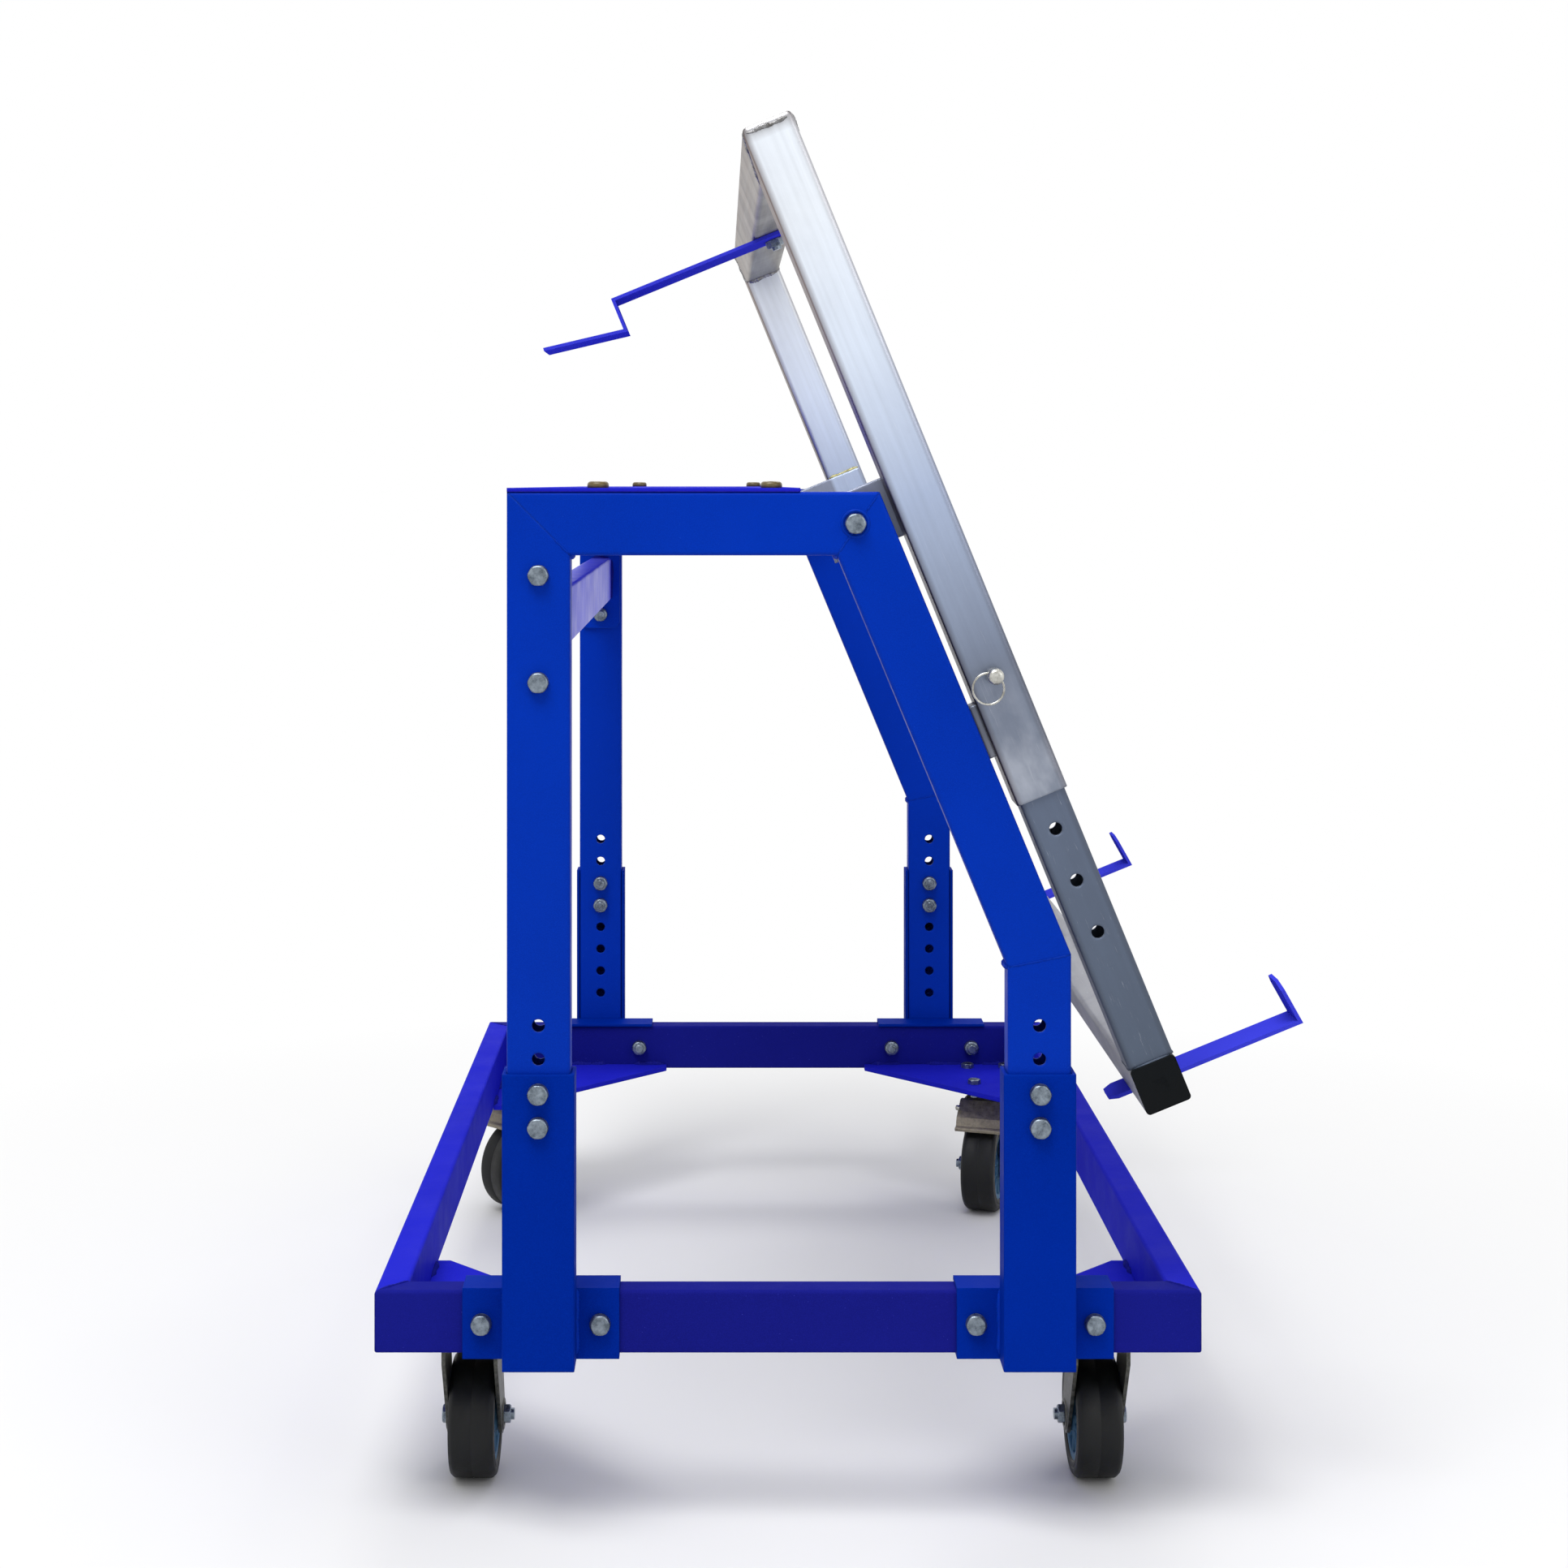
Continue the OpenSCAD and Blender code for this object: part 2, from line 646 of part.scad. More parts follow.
module top_cross_tube()
    color(silver) placed() on_rack() difference() {
        translate([rack_mid, leg_outer_y, rack_above - outer_tube / 2]) rotate([90, 0, 0])
            tube_up(outer_tube, outer_tube, outer_wall, outer_corner, 2 * leg_outer_y);
        beyond([rack_mid, -leg_outer_y, rack_above], [0, 135, 90]);
        beyond([rack_mid, leg_outer_y, rack_above], [0, 135, -90]);
        translate([rack_mid, 0, top_cross_under - 1]) cylinder(d = bolt_hole_d, h = outer_tube + 2);
    }

module pivot_brackets()
    color(silver) placed() both_ends() on_rack() difference() {
        translate([-bracket_width / 2, -tube_inner_y, -bracket_width / 2])
            cube([bracket_length, bracket_t, bracket_width]);
        hole_along_y(0, -tube_inner_y, 0, bolt_d + 2 * running_fit, 4 * bracket_t);
    }

module stop_pads()
    color(silver) placed() both_ends() on_rack()
        translate([rack_back - stop_pad_t, -leg_outer_y + outer_corner, -stop_pad_end])
            cube([stop_pad_t, frame_tube_t - outer_corner, stop_pad_length]);

// Hooks
module top_hook() {
    end_x = rack_mid - top_hook_arm;
    mid_z = top_cross_under - side_gap - hook_t / 2;
    low_z = mid_z - top_hook_step;
    path = [
        [rack_mid + top_hook_nose, mid_z], [end_x, mid_z], [end_x, low_z],
        [end_x - top_hook_flare * cos(top_hook_flare_angle),
            low_z + top_hook_flare * sin(top_hook_flare_angle)]
    ];
    color([0.25, 0.25, 0.85]) placed() on_rack() difference() {
        swept_along_y(top_hook_width) bent_strip(path, hook_t);
        translate([rack_mid, 0, mid_z - hook_t]) cylinder(d = bolt_d + 2 * running_fit, h = 2 * hook_t);
    }
}

module top_hook_bolt()
    color(zinc) placed() on_rack() translate([rack_mid, 0, rack_above]) rotate([180, 0, 0])
        bolted(bolt_d, bolt_flats, bolt_head_h, nut_h, outer_tube + hook_t + 2 * side_gap);

module bottom_hook() {
    mid_z = -lower_cross_under - hook_t / 2;
    // The bend's outer corner is the hook's foremost point
    lip_x = hook_reach - hook_t / 2 * (1 / cos(hook_lip_lean) + tan(hook_lip_lean));
    chamfer = hook_width / 5;
    path = [
        [hook_back, mid_z], [lip_x, mid_z],
        [lip_x - hook_lip * sin(hook_lip_lean), mid_z + hook_lip * cos(hook_lip_lean)]
    ];
    difference() {
        swept_along_y(hook_width) bent_strip(path, hook_t);
        // The back end's corners are cut off in plan
        translate([hook_back, 0, mid_z - hook_t]) linear_extrude(2 * hook_t)
            for (s = [-1, 1]) polygon([
                [-1, s * hook_width], [-1, s * (hook_width / 2 - chamfer)],
                [0, s * (hook_width / 2 - chamfer)], [chamfer, s * hook_width / 2],
                [chamfer, s * hook_width]
            ]);
        // The lip's two corners are cut off
        for (s = [-1, 1])
            translate([0, s * hook_width / 2, mid_z + hook_lip]) rotate([45, 0, 0])
                translate([lip_x - hook_lip, -chamfer / sqrt(2), -chamfer / sqrt(2)])
                cube([2 * hook_lip, sqrt(2) * chamfer, sqrt(2) * chamfer]);
        translate([rack_mid, 0, mid_z - hook_t]) cylinder(d = bolt_hole_d, h = 2 * hook_t);
    }
}

module bottom_hooks()
    color([0.25, 0.25, 0.85]) placed() both_ends() on_rack()
        translate([0, -hook_place, 0]) bottom_hook();

module hook_bolts()
    color(zinc) placed() both_ends() on_rack()
        translate([rack_mid, -hook_place, -lower_cross_under - hook_t])
            bolted(bolt_d, bolt_flats, bolt_head_h / 2, nut_h, hook_t + inner_tube);

// Telescoping part
module inner_tube_piece(end)
    color([0.45, 0.47, 0.50]) placed() at_end(end) on_rack() difference() {
        translate([rack_mid, -rack_mid_y, -lower_cross_drop])
            tube_up(inner_tube, inner_tube, inner_wall, inner_corner,
                lower_cross_drop - pin_drop + inner_tube_top);
        for (i = [0:inner_holes - 1])
            hole_along_y(rack_mid, -rack_mid_y, -pin_drop - i * inner_hole_pitch, bolt_hole_d);
    }

module lower_cross_tube()
    color([0.45, 0.47, 0.50]) placed() on_rack() difference() {
        translate([rack_mid, inner_outer_y, -lower_cross_drop - inner_tube / 2]) rotate([90, 0, 0])
            tube_up(inner_tube, inner_tube, inner_wall, inner_corner, 2 * inner_outer_y);
        for (e = [near, far])
            translate([rack_mid, e * hook_place, -lower_cross_under - 1])
                cylinder(d = bolt_hole_d, h = inner_tube + 2);
    }

// Plug with a lip, which closes the end of the lower cross tube
module end_caps() {
    bore = inner_tube - 2 * inner_wall;
    plug = 18;
    lip = 3;
    color([0.08, 0.09, 0.11]) placed() both_ends() on_rack()
        translate([rack_mid, -inner_outer_y, -lower_cross_drop - inner_tube / 2]) rotate([90, 0, 0]) {
            linear_extrude(lip) rounded_outline(inner_tube, inner_tube, inner_corner);
            translate([0, 0, -plug]) linear_extrude(plug)
                rounded_outline(bore - 0.2, bore - 0.2, 1);
        }
}

// Lock pins, drawn at the near end and pointing out along -Y from the tube's face
ring_r = (ring_d - ring_wire) / 2;
head_l = pin_out - pin_travel - 0.5;
ring_place = pin_out - head_l / 2;
ring_rise = ring_r - sqrt(ring_r * ring_r - pin_head_d * pin_head_d / 4);
ring_hole_d = ring_wire + ring_rise + 0.8;

module at_pin() on_rack() translate([rack_mid, -leg_outer_y, -pin_drop])
    rotate([0, rack_lean + ring_turn, 0]) rotate([90, 0, 0]) children();

module lock_pin(end) {
    dome = 4;
    color(zinc) placed() at_end(end) at_pin() difference() {
        union() {
            translate([0, 0, 0.4 - outer_wall])
                cylinder(d = pin_d, h = outer_wall - 0.4 + pin_out - head_l / 2);
            translate([0, 0, pin_out - head_l]) rotate_extrude() {
                square([pin_head_d / 2, head_l - dome]);
                square([pin_head_d / 2 - dome, head_l]);
                translate([pin_head_d / 2 - dome, head_l - dome]) intersection() {
                    circle(r = dome, $fn = 32);
                    square(dome);
                }
            }
        }
        translate([-pin_head_d, 0, ring_place]) rotate([0, 90, 0])
            cylinder(d = ring_hole_d, h = 2 * pin_head_d);
    }
}

module lock_ring(end)
    color(zinc) placed() at_end(end) at_pin()
        translate([0, ring_rise / 2 - ring_r, ring_place]) rotate_extrude($fn = 64)
            translate([ring_r, 0]) circle(d = ring_wire, $fn = 16);

// Casters, drawn with the swivel axis at the origin and the wheel trailing along +Y
function caster_turn(end, side) =
    end == near ? 0 : 180 - (side == left ? far_left_turn : far_right_turn);
module at_caster(end, side)
    translate([side * caster_x, end * caster_y, 0]) rotate([0, 0, caster_turn(end, side)])
        children();

module each_caster()
    for (e = [near, far], s = [left, right])
        translate([s * caster_x, e * caster_y, 0]) children();

module caster_plates()
    color(zinc) placed() each_caster() {
        difference() {
            translate([0, 0, mount_plate_z]) linear_extrude(fork_t)
                rounded_outline(mount_plate_w, mount_plate_l, 5);
            translate([0, 0, mount_plate_z - 1]) caster_bolt_places()
                cylinder(d = caster_bolt_d + 0.6, h = fork_t + 2);
        }
        translate([0, 0, upper_race_z]) cylinder(d = race_d, h = race_h);
        translate([0, 0, crown_z - side_gap]) cylinder(d = kingpin_d, h = upper_race_z - crown_z + side_gap);
        translate([0, 0, crown_z - side_gap - 3]) cylinder(d = 1.5 * kingpin_d, h = 3);
    }

module caster_bolts()
    color(zinc) placed() each_caster() caster_bolt_places()
        translate([0, 0, corner_plate_top]) rotate([180, 0, 0])
            bolted(caster_bolt_d, caster_bolt_flats, 5.3, 4.5, corner_plate_t + fork_t);

// Point where a line from p touches a circle round c, on the side that s gives
function tangent_point(p, c, r, s) =
    let (d = norm(p - c), aim = atan2(p.y - c.y, p.x - c.x), open = acos(r / d))
    c + r * [cos(aim + s * open), sin(aim + s * open)];

module fork_leg_outline() {
    axle = [trail, axle_z];
    front_low = [-fork_half_length, crown_z - 12];
    back_low = [fork_half_length, crown_z - 8];
    polygon([
        [-fork_half_length, lower_race_z], front_low,
        tangent_point(front_low, axle, axle_boss_r, 1), axle,
        tangent_point(back_low, axle, axle_boss_r, -1), back_low,
        [fork_half_length, lower_race_z]
    ]);
    translate(axle) circle(r = axle_boss_r);
}

module fork(end, side)
    color(zinc) placed() at_caster(end, side) {
        difference() {
            union() {
                translate([-fork_outer, -fork_half_length, crown_z])
                    cube([2 * fork_outer, 2 * fork_half_length, fork_t]);
                for (x = [-fork_outer, fork_inner]) swept_across(x, fork_t) fork_leg_outline();
                translate([0, 0, lower_race_z]) cylinder(d = race_d - 4, h = race_h);
            }
            translate([0, 0, crown_z - 1])
                cylinder(d = kingpin_d + 2 * running_fit, h = fork_t + race_h + 2);
            translate([-2 * fork_outer, trail, axle_z]) rotate([0, 90, 0])
                cylinder(d = axle_d + 0.2, h = 4 * fork_outer);
            translate([-2 * fork_outer, pedal_pin_y, pedal_pin_z]) rotate([0, 90, 0])
                cylinder(d = pedal_pin_d, h = 4 * fork_outer);
        }
        // The pedal's pin stands in both legs of the fork, with a round head outside each ear
        translate([-ear_outer - side_gap, pedal_pin_y, pedal_pin_z]) rotate([0, 90, 0])
            cylinder(d = pedal_pin_d, h = 2 * (ear_outer + side_gap));
        for (s = [-1, 1])
            translate([s * (ear_outer + side_gap), pedal_pin_y, pedal_pin_z]) rotate([0, s * 90, 0])
                cylinder(d = 1.6 * pedal_pin_d, h = 2.2);
    }

module on_axle() translate([0, trail, axle_z]) rotate([0, 90, 0]) children();

module tyre(end, side) {
    r = tyre_shoulder;
    inner_r = wheel_centre_d / 2;
    outer_r = wheel_d / 2;
    color([0.10, 0.11, 0.13]) placed() at_caster(end, side) on_axle() rotate_extrude($fn = 96) {
        translate([inner_r, -tyre_width / 2]) square([outer_r - r - inner_r, tyre_width]);
        translate([inner_r, -tyre_width / 2 + r]) square([outer_r - inner_r, tyre_width - 2 * r]);
        for (s = [-1, 1]) translate([outer_r - r, s * (tyre_width / 2 - r)]) intersection() {
            circle(r = r);
            translate([0, s > 0 ? 0 : -r]) square(r);
        }
    }
}

module wheel(end, side) {
    bore_r = axle_d / 2 + running_fit;
    rim_r = wheel_centre_d / 2;
    color([0.35, 0.42, 0.50]) placed() at_caster(end, side) on_axle() rotate_extrude($fn = 96) {
        translate([bore_r, -hub_half]) square([11 - bore_r, 2 * hub_half]);
        translate([bore_r, -tyre_width / 2 + 6]) square([rim_r - bore_r, tyre_width - 12]);
        translate([rim_r - 5, -tyre_width / 2 + 1.5]) square([5, tyre_width - 3]);
    }
}

// The nut is at the inner side of every wheel
module axle(end, side) {
    outward = end == near ? side : -side;
    color(zinc) placed() at_caster(end, side) translate([fork_outer * outward, 0, 0]) on_axle()
        rotate([0, outward > 0 ? 180 : 0, 0]) bolted(axle_d, 14, 5, 6.5, 2 * fork_outer);
}

module pedal(end, side) {
    tread_y = fork_half_length + 9;
    tread = [
        [race_d / 2 + side_gap, crown_z + 0.5], [tread_y + 4, crown_z + 0.5],
        [tread_y + 26, crown_z - 14], [tread_y + 30, crown_z - 23], [tread_y + 38, crown_z - 25]
    ];
    ear = [
        [pedal_pin_y - 5, pedal_pin_z - 4], [tread_y + 6, pedal_pin_z - 4],
        [tread_y + 25, crown_z - 14], [tread_y + 4, crown_z], [pedal_pin_y - 5, crown_z]
    ];
    color([0.33, 0.31, 0.27]) placed() at_caster(end, side) difference() {
        union() {
            swept_across(-pedal_width / 2, pedal_width) bent_strip(tread, pedal_t);
            for (x = [-ear_outer, ear_inner]) swept_across(x, ear_t) polygon(ear);
        }
        translate([-2 * fork_outer, pedal_pin_y, pedal_pin_z]) rotate([0, 90, 0])
            cylinder(d = pedal_pin_d + 2 * running_fit, h = 4 * fork_outer);
    }
}

base_end(near);  // base_end_near
base_end(far);  // base_end_far
base_rail(left);  // base_rail_left
base_rail(right);  // base_rail_right
corner_plates();
saddles();
leg_sockets();
frame_bolts();
post(near);  // post_near
post(far);  // post_far
top_bar(near);  // top_bar_near
top_bar(far);  // top_bar_far
sloped_leg(near);  // sloped_leg_near
sloped_leg(far);  // sloped_leg_far
lower_leg(near);  // lower_leg_near
lower_leg(far);  // lower_leg_far
cross_beam();
beam_end_plates();
top_deck();
bumpers();
pivot_bolts();
side_tube(near);  // side_tube_near
side_tube(far);  // side_tube_far
top_cross_tube();
pivot_brackets();
stop_pads();
top_hook();
top_hook_bolt();
inner_tube_piece(near);  // inner_tube_near
inner_tube_piece(far);  // inner_tube_far
lower_cross_tube();
end_caps();
bottom_hooks();
hook_bolts();
lock_pin(near);  // lock_pin_near
lock_pin(far);  // lock_pin_far
lock_ring(near);  // lock_ring_near
lock_ring(far);  // lock_ring_far
caster_plates();
caster_bolts();
fork(near, left);  // fork_near_left
fork(near, right);  // fork_near_right
fork(far, left);  // fork_far_left
fork(far, right);  // fork_far_right
tyre(near, left);  // tyre_near_left
tyre(near, right);  // tyre_near_right
tyre(far, left);  // tyre_far_left
tyre(far, right);  // tyre_far_right
wheel(near, left);  // wheel_near_left
wheel(near, right);  // wheel_near_right
wheel(far, left);  // wheel_far_left
wheel(far, right);  // wheel_far_right
axle(near, left);  // axle_near_left
axle(near, right);  // axle_near_right
axle(far, left);  // axle_far_left
axle(far, right);  // axle_far_right
pedal(near, left);  // pedal_near_left
pedal(near, right);  // pedal_near_right
pedal(far, left);  // pedal_far_left
pedal(far, right);  // pedal_far_right
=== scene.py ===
import bpy
import bmesh
import math
import random
from mathutils import Matrix, Vector


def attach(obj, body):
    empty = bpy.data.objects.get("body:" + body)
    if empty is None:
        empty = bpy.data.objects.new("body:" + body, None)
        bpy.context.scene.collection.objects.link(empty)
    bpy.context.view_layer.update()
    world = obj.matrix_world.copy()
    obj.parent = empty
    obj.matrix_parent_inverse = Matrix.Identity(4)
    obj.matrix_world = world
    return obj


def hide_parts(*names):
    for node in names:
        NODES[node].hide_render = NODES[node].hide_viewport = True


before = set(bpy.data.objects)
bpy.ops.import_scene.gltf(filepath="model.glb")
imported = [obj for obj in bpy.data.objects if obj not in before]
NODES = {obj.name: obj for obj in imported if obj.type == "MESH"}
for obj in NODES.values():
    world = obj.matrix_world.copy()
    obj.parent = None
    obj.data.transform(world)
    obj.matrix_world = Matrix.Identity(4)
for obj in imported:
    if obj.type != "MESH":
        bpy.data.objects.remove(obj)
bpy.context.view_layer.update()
RNG = random.Random(7)

# The drawing's middle along X and the rack's pivot, in metres, and how far the rack leans back
MID_X = 0.0478041
LEAN = math.radians(22.25)
PIVOT = Vector((0.0531 - MID_X, 0.0, 0.8156))


# ---------------------------------------------------------------- node helpers
# The sockets of a Mix node that mixes colours
MIX_FACTOR, MIX_A, MIX_B, MIX_RESULT = 0, 6, 7, 2
BEVEL_SAMPLES = 6
EDGE_GAIN = 6.0


class Mat:
    """A material and short calls for its nodes."""

    NAMES = {"colour": "Base Color", "metal": "Metallic", "rough": "Roughness", "ior": "IOR",
             "aniso": "Anisotropic", "sss": "Subsurface Weight",
             "sss_scale": "Subsurface Scale", "trans": "Transmission Weight",
             "specular": "Specular IOR Level"}

    def __init__(self, name):
        self.m = bpy.data.materials.new(name)
        self.m.use_nodes = True
        self.t = self.m.node_tree
        self.b = self.t.nodes["Principled BSDF"]

    def set(self, **values):
        """Sets constants on the shader's own sockets."""
        for k, v in values.items():
            if k == "colour":
                v = (*v, 1.0)
            self.b.inputs[self.NAMES[k]].default_value = v
        return self

    def node(self, kind, **inputs):
        n = self.t.nodes.new(kind)
        for k, v in inputs.items():
            n.inputs[k.replace("_", " ")].default_value = v
        return n

    def link(self, a, b):
        self.t.links.new(a, b)

    def coords(self, scale=(1, 1, 1), turn=(0, 0, 0)):
        """Object coordinates, turned and stretched."""
        c = self.t.nodes.new("ShaderNodeTexCoord")
        # The turn comes first, then the stretch along the turned axes
        first = self.t.nodes.new("ShaderNodeMapping")
        first.inputs["Rotation"].default_value = turn
        self.link(c.outputs["Object"], first.inputs["Vector"])
        n = self.t.nodes.new("ShaderNodeMapping")
        n.inputs["Scale"].default_value = scale
        self.link(first.outputs["Vector"], n.inputs["Vector"])
        return n.outputs["Vector"]

    def noise(self, vector, scale, detail=4.0, rough=0.55, distortion=0.0):
        n = self.node("ShaderNodeTexNoise", Scale=scale, Detail=detail, Roughness=rough,
                      Distortion=distortion)
        self.link(vector, n.inputs["Vector"])
        return n.outputs["Fac"]

    def ramp(self, fac, stops):
        """A colour ramp over (place, colour or grey value) stops."""
        n = self.t.nodes.new("ShaderNodeValToRGB")
        e = n.color_ramp.elements
        while len(e) < len(stops):
            e.new(0.5)
        for el, (p, col) in zip(e, stops):
            el.position = p
            if isinstance(col, (int, float)):
                col = (col, col, col)
            el.color = (*col, 1.0)
        self.link(fac, n.inputs["Fac"])
        return n.outputs["Color"]

    def mix(self, fac, a, b, kind="MIX"):
        """Mixes two colours. Each value is a number, a colour or a socket."""
        n = self.t.nodes.new("ShaderNodeMix")
        n.data_type = "RGBA"
        n.blend_type = kind
        for sock, v in ((MIX_FACTOR, fac), (MIX_A, a), (MIX_B, b)):
            if isinstance(v, (int, float)):
                n.inputs[sock].default_value = v
            elif isinstance(v, tuple):
                n.inputs[sock].default_value = (*v, 1.0)
            else:
                self.link(v, n.inputs[sock])
        return n.outputs[MIX_RESULT]

    def math(self, op, a, b=0.0, clamp=False):
        n = self.t.nodes.new("ShaderNodeMath")
        n.operation = op
        n.use_clamp = clamp
        for i, v in enumerate((a, b)):
            if isinstance(v, (int, float)):
                n.inputs[i].default_value = v
            else:
                self.link(v, n.inputs[i])
        return n.outputs[0]

    def rounded(self, radius):
        """The normal with the edges rounded by a radius."""
        bev = self.node("ShaderNodeBevel", Radius=radius)
        bev.samples = BEVEL_SAMPLES
        return bev.outputs[0]

    def edges(self, radius):
        """1 at convex and concave edges, 0 on flat ground."""
        bevelled = self.rounded(radius)
        geo = self.t.nodes.new("ShaderNodeNewGeometry")
        dot = self.t.nodes.new("ShaderNodeVectorMath")
        dot.operation = "DOT_PRODUCT"
        self.link(bevelled, dot.inputs[0])
        self.link(geo.outputs["Normal"], dot.inputs[1])
        inv = self.math("SUBTRACT", 1.0, dot.outputs["Value"])
        return self.math("MULTIPLY", inv, EDGE_GAIN, clamp=True)

    def bump(self, height, strength, distance, round_edges=0.0):
        """Bump from a height, over edges that look rounded by the given radius."""
        n = self.node("ShaderNodeBump", Strength=strength, Distance=distance)
        self.link(height, n.inputs["Height"])
        if round_edges:
            self.link(self.rounded(round_edges), n.inputs["Normal"])
        self.link(n.outputs["Normal"], self.b.inputs["Normal"])


def srgb(r, g, b):
    """A colour given in 0 to 255 sRGB, as linear values."""
    out = []
    for v in (r, g, b):
        v /= 255.0
        out.append(v / 12.92 if v <= 0.04045 else ((v + 0.055) / 1.055) ** 2.4)
    return tuple(out)


def scaled(col, k):
    """A colour made darker or lighter by a factor."""
    return tuple(min(1.0, c * k) for c in col)


# ---------------------------------------------------------------- materials
def paint(name, col, edge_col, rough=0.40, speck=0.5, specular=0.04, wear_highlight_most=0.28,
          wear_highlight_r=0.0014, round_r=0.0025, peel_most=0.30, grain_most=0.5):
    """Powder coat: fine orange peel, faint dust and darker patches, paler edges that are partly
    wear and partly a painted highlight.
    """
    m = Mat(name).set(rough=rough, specular=specular)
    v = m.coords()
    patches = m.noise(v, 4.0, 4.0, 0.55)
    base = m.mix(m.ramp(patches, [(0.35, 0.0), (0.70, 1.0)]),
                 scaled(col, 0.88), scaled(col, 1.09))
    grain = m.noise(v, 1300.0, 2.0, 0.6)
    base = m.mix(m.ramp(grain, [(0.40, 0.0), (0.66, grain_most)]), base, scaled(col, 1.35))
    dust = m.noise(v, 620.0, 2.0, 0.6)
    base = m.mix(m.ramp(dust, [(0.72, 0.0), (0.79, speck)]), base, edge_col)
    scuffs = m.noise(m.coords((14, 14, 3)), 9.0, 6.0, 0.72, 0.4)
    base = m.mix(m.ramp(scuffs, [(0.70, 0.0), (0.80, 0.4 * speck)]), base,
                 scaled(edge_col, 0.6))
    edge_patchiness = m.noise(v, 60.0, 5.0, 0.7)
    # Paler patches along the edges: partly wear, partly a painted edge highlight
    if wear_highlight_r:
        wear_and_highlight = m.math("MULTIPLY", m.edges(wear_highlight_r),
                      m.ramp(edge_patchiness, [(0.42, 0.05), (0.66, wear_highlight_most)]), clamp=True)
        base = m.mix(wear_and_highlight, base, edge_col)
    m.link(base, m.b.inputs["Base Color"])
    rr = m.ramp(m.noise(v, 22.0, 5.0, 0.6), [(0.3, rough - 0.06), (0.7, rough + 0.10)])
    m.link(rr, m.b.inputs["Roughness"])
    peel = m.noise(v, 420.0, 3.0, 0.5)
    wave = m.noise(v, 30.0, 3.0, 0.5)
    h = m.math("ADD", m.math("MULTIPLY", peel, 0.35), m.math("MULTIPLY", wave, 0.9))
    m.bump(h, peel_most, 0.0006, round_r)
    return m.m


# The middle of the rack's thickness, along X of the rack's turned axes, in metres
RACK_MIDDLE = 0.3696
BURNT_LENGTH = 0.014


def brushed(name, stops, turn, along=(1, 1, 1), rough=0.34, metal=0.8, contrast=0.10, stain=0.0,
            dull=None, edge_shade=0.0, half=0.0215, top=0.0):
    """Mill-finish tube: its tone shifts along the rack (painted light on the rack tubes), with
    fine streaks, stains and scratches.

    stops are (height along the rack in metres, colour), half is half the tube's width, and top
    is the height where a welded tube ends.
    """
    m = Mat(name).set(metal=metal, rough=rough, aniso=0.3)
    up = m.t.nodes.new("ShaderNodeSeparateXYZ")
    m.link(m.coords((1, 1, 1), (0, LEAN, 0)), up.inputs[0])
    # The tone by height along the rack, from the stops: on the rack tubes this is painted light
    tone = m.ramp(up.outputs["Z"], stops)
    streak = m.noise(m.coords(along, turn), 190.0, 5.0, 0.6)
    cloud = m.noise(m.coords((1, 1, 0.5), turn), 14.0, 5.0, 0.6, 0.5)
    fine = m.noise(m.coords(tuple(q * 2.6 for q in along), turn), 420.0, 3.0, 0.7)
    base = m.mix(m.ramp(streak, [(0.30, contrast), (0.70, 0.0)]), tone, (0.02, 0.02, 0.03))
    base = m.mix(m.ramp(cloud, [(0.40, 0.0), (0.75, contrast * 1.3)]), base, (0.05, 0.05, 0.07))
    base = m.mix(m.ramp(fine, [(0.64, 0.0), (0.80, 0.30)]), base, (0.95, 0.96, 1.0))
    if stain:
        # The lower end is rubbed where hands grip it
        grip = m.ramp(up.outputs["Z"], [(0.50, 1.0), (0.62, 0.0)])
        rub = m.ramp(m.noise(m.coords((1, 1, 0.6), turn), 22.0, 4.0, 0.6),
                     [(0.42, 0.0), (0.62, 1.0)])
        both = m.math("MULTIPLY", m.math("MULTIPLY", grip, rub), stain)
        base = m.mix(both, base, (0.62, 0.65, 0.74))
    if edge_shade:
        # Painted shade: the rounded corners at the tube's two edges are darkened
        off = m.math("ABSOLUTE", m.math("SUBTRACT", up.outputs["X"], RACK_MIDDLE))
        edge = m.math("DIVIDE", off, half)
        base = m.mix(m.ramp(edge, [(0.72, 0.0), (0.90, edge_shade)]), base,
                     m.mix(1.0, base, (0.46, 0.42, 0.41), "MULTIPLY"))
    if top:
        # Welding has darkened the last centimetre
        burnt = m.math("MULTIPLY", m.math("SUBTRACT", up.outputs["Z"], top - BURNT_LENGTH),
                       70.0, clamp=True)
        base = m.mix(burnt, base, m.mix(1.0, base, (0.46, 0.42, 0.40), "MULTIPLY"))
    if dull:
        # Painted shade: the side that faces the given way is darkened by the tint
        way, tint = dull
        side = m.t.nodes.new("ShaderNodeVectorMath")
        side.operation = "DOT_PRODUCT"
        side.inputs[1].default_value = way
        m.link(m.t.nodes.new("ShaderNodeTexCoord").outputs["Normal"], side.inputs[0])
        side_shade = m.ramp(side.outputs["Value"], [(0.55, 0.0), (0.90, 1.0)])
        base = m.mix(side_shade, base, m.mix(1.0, base, tint, "MULTIPLY"))
    m.link(base, m.b.inputs["Base Color"])
    r = m.ramp(m.math("ADD", m.math("MULTIPLY", streak, 0.6), m.math("MULTIPLY", cloud, 0.4)),
               [(0.3, rough - 0.06), (0.7, rough + 0.12)])
    m.link(r, m.b.inputs["Roughness"])
    h = m.math("ADD", m.math("MULTIPLY", streak, 0.25), m.math("MULTIPLY", cloud, 1.4))
    m.bump(h, 0.22, 0.0007, 0.0035)
    return m.m


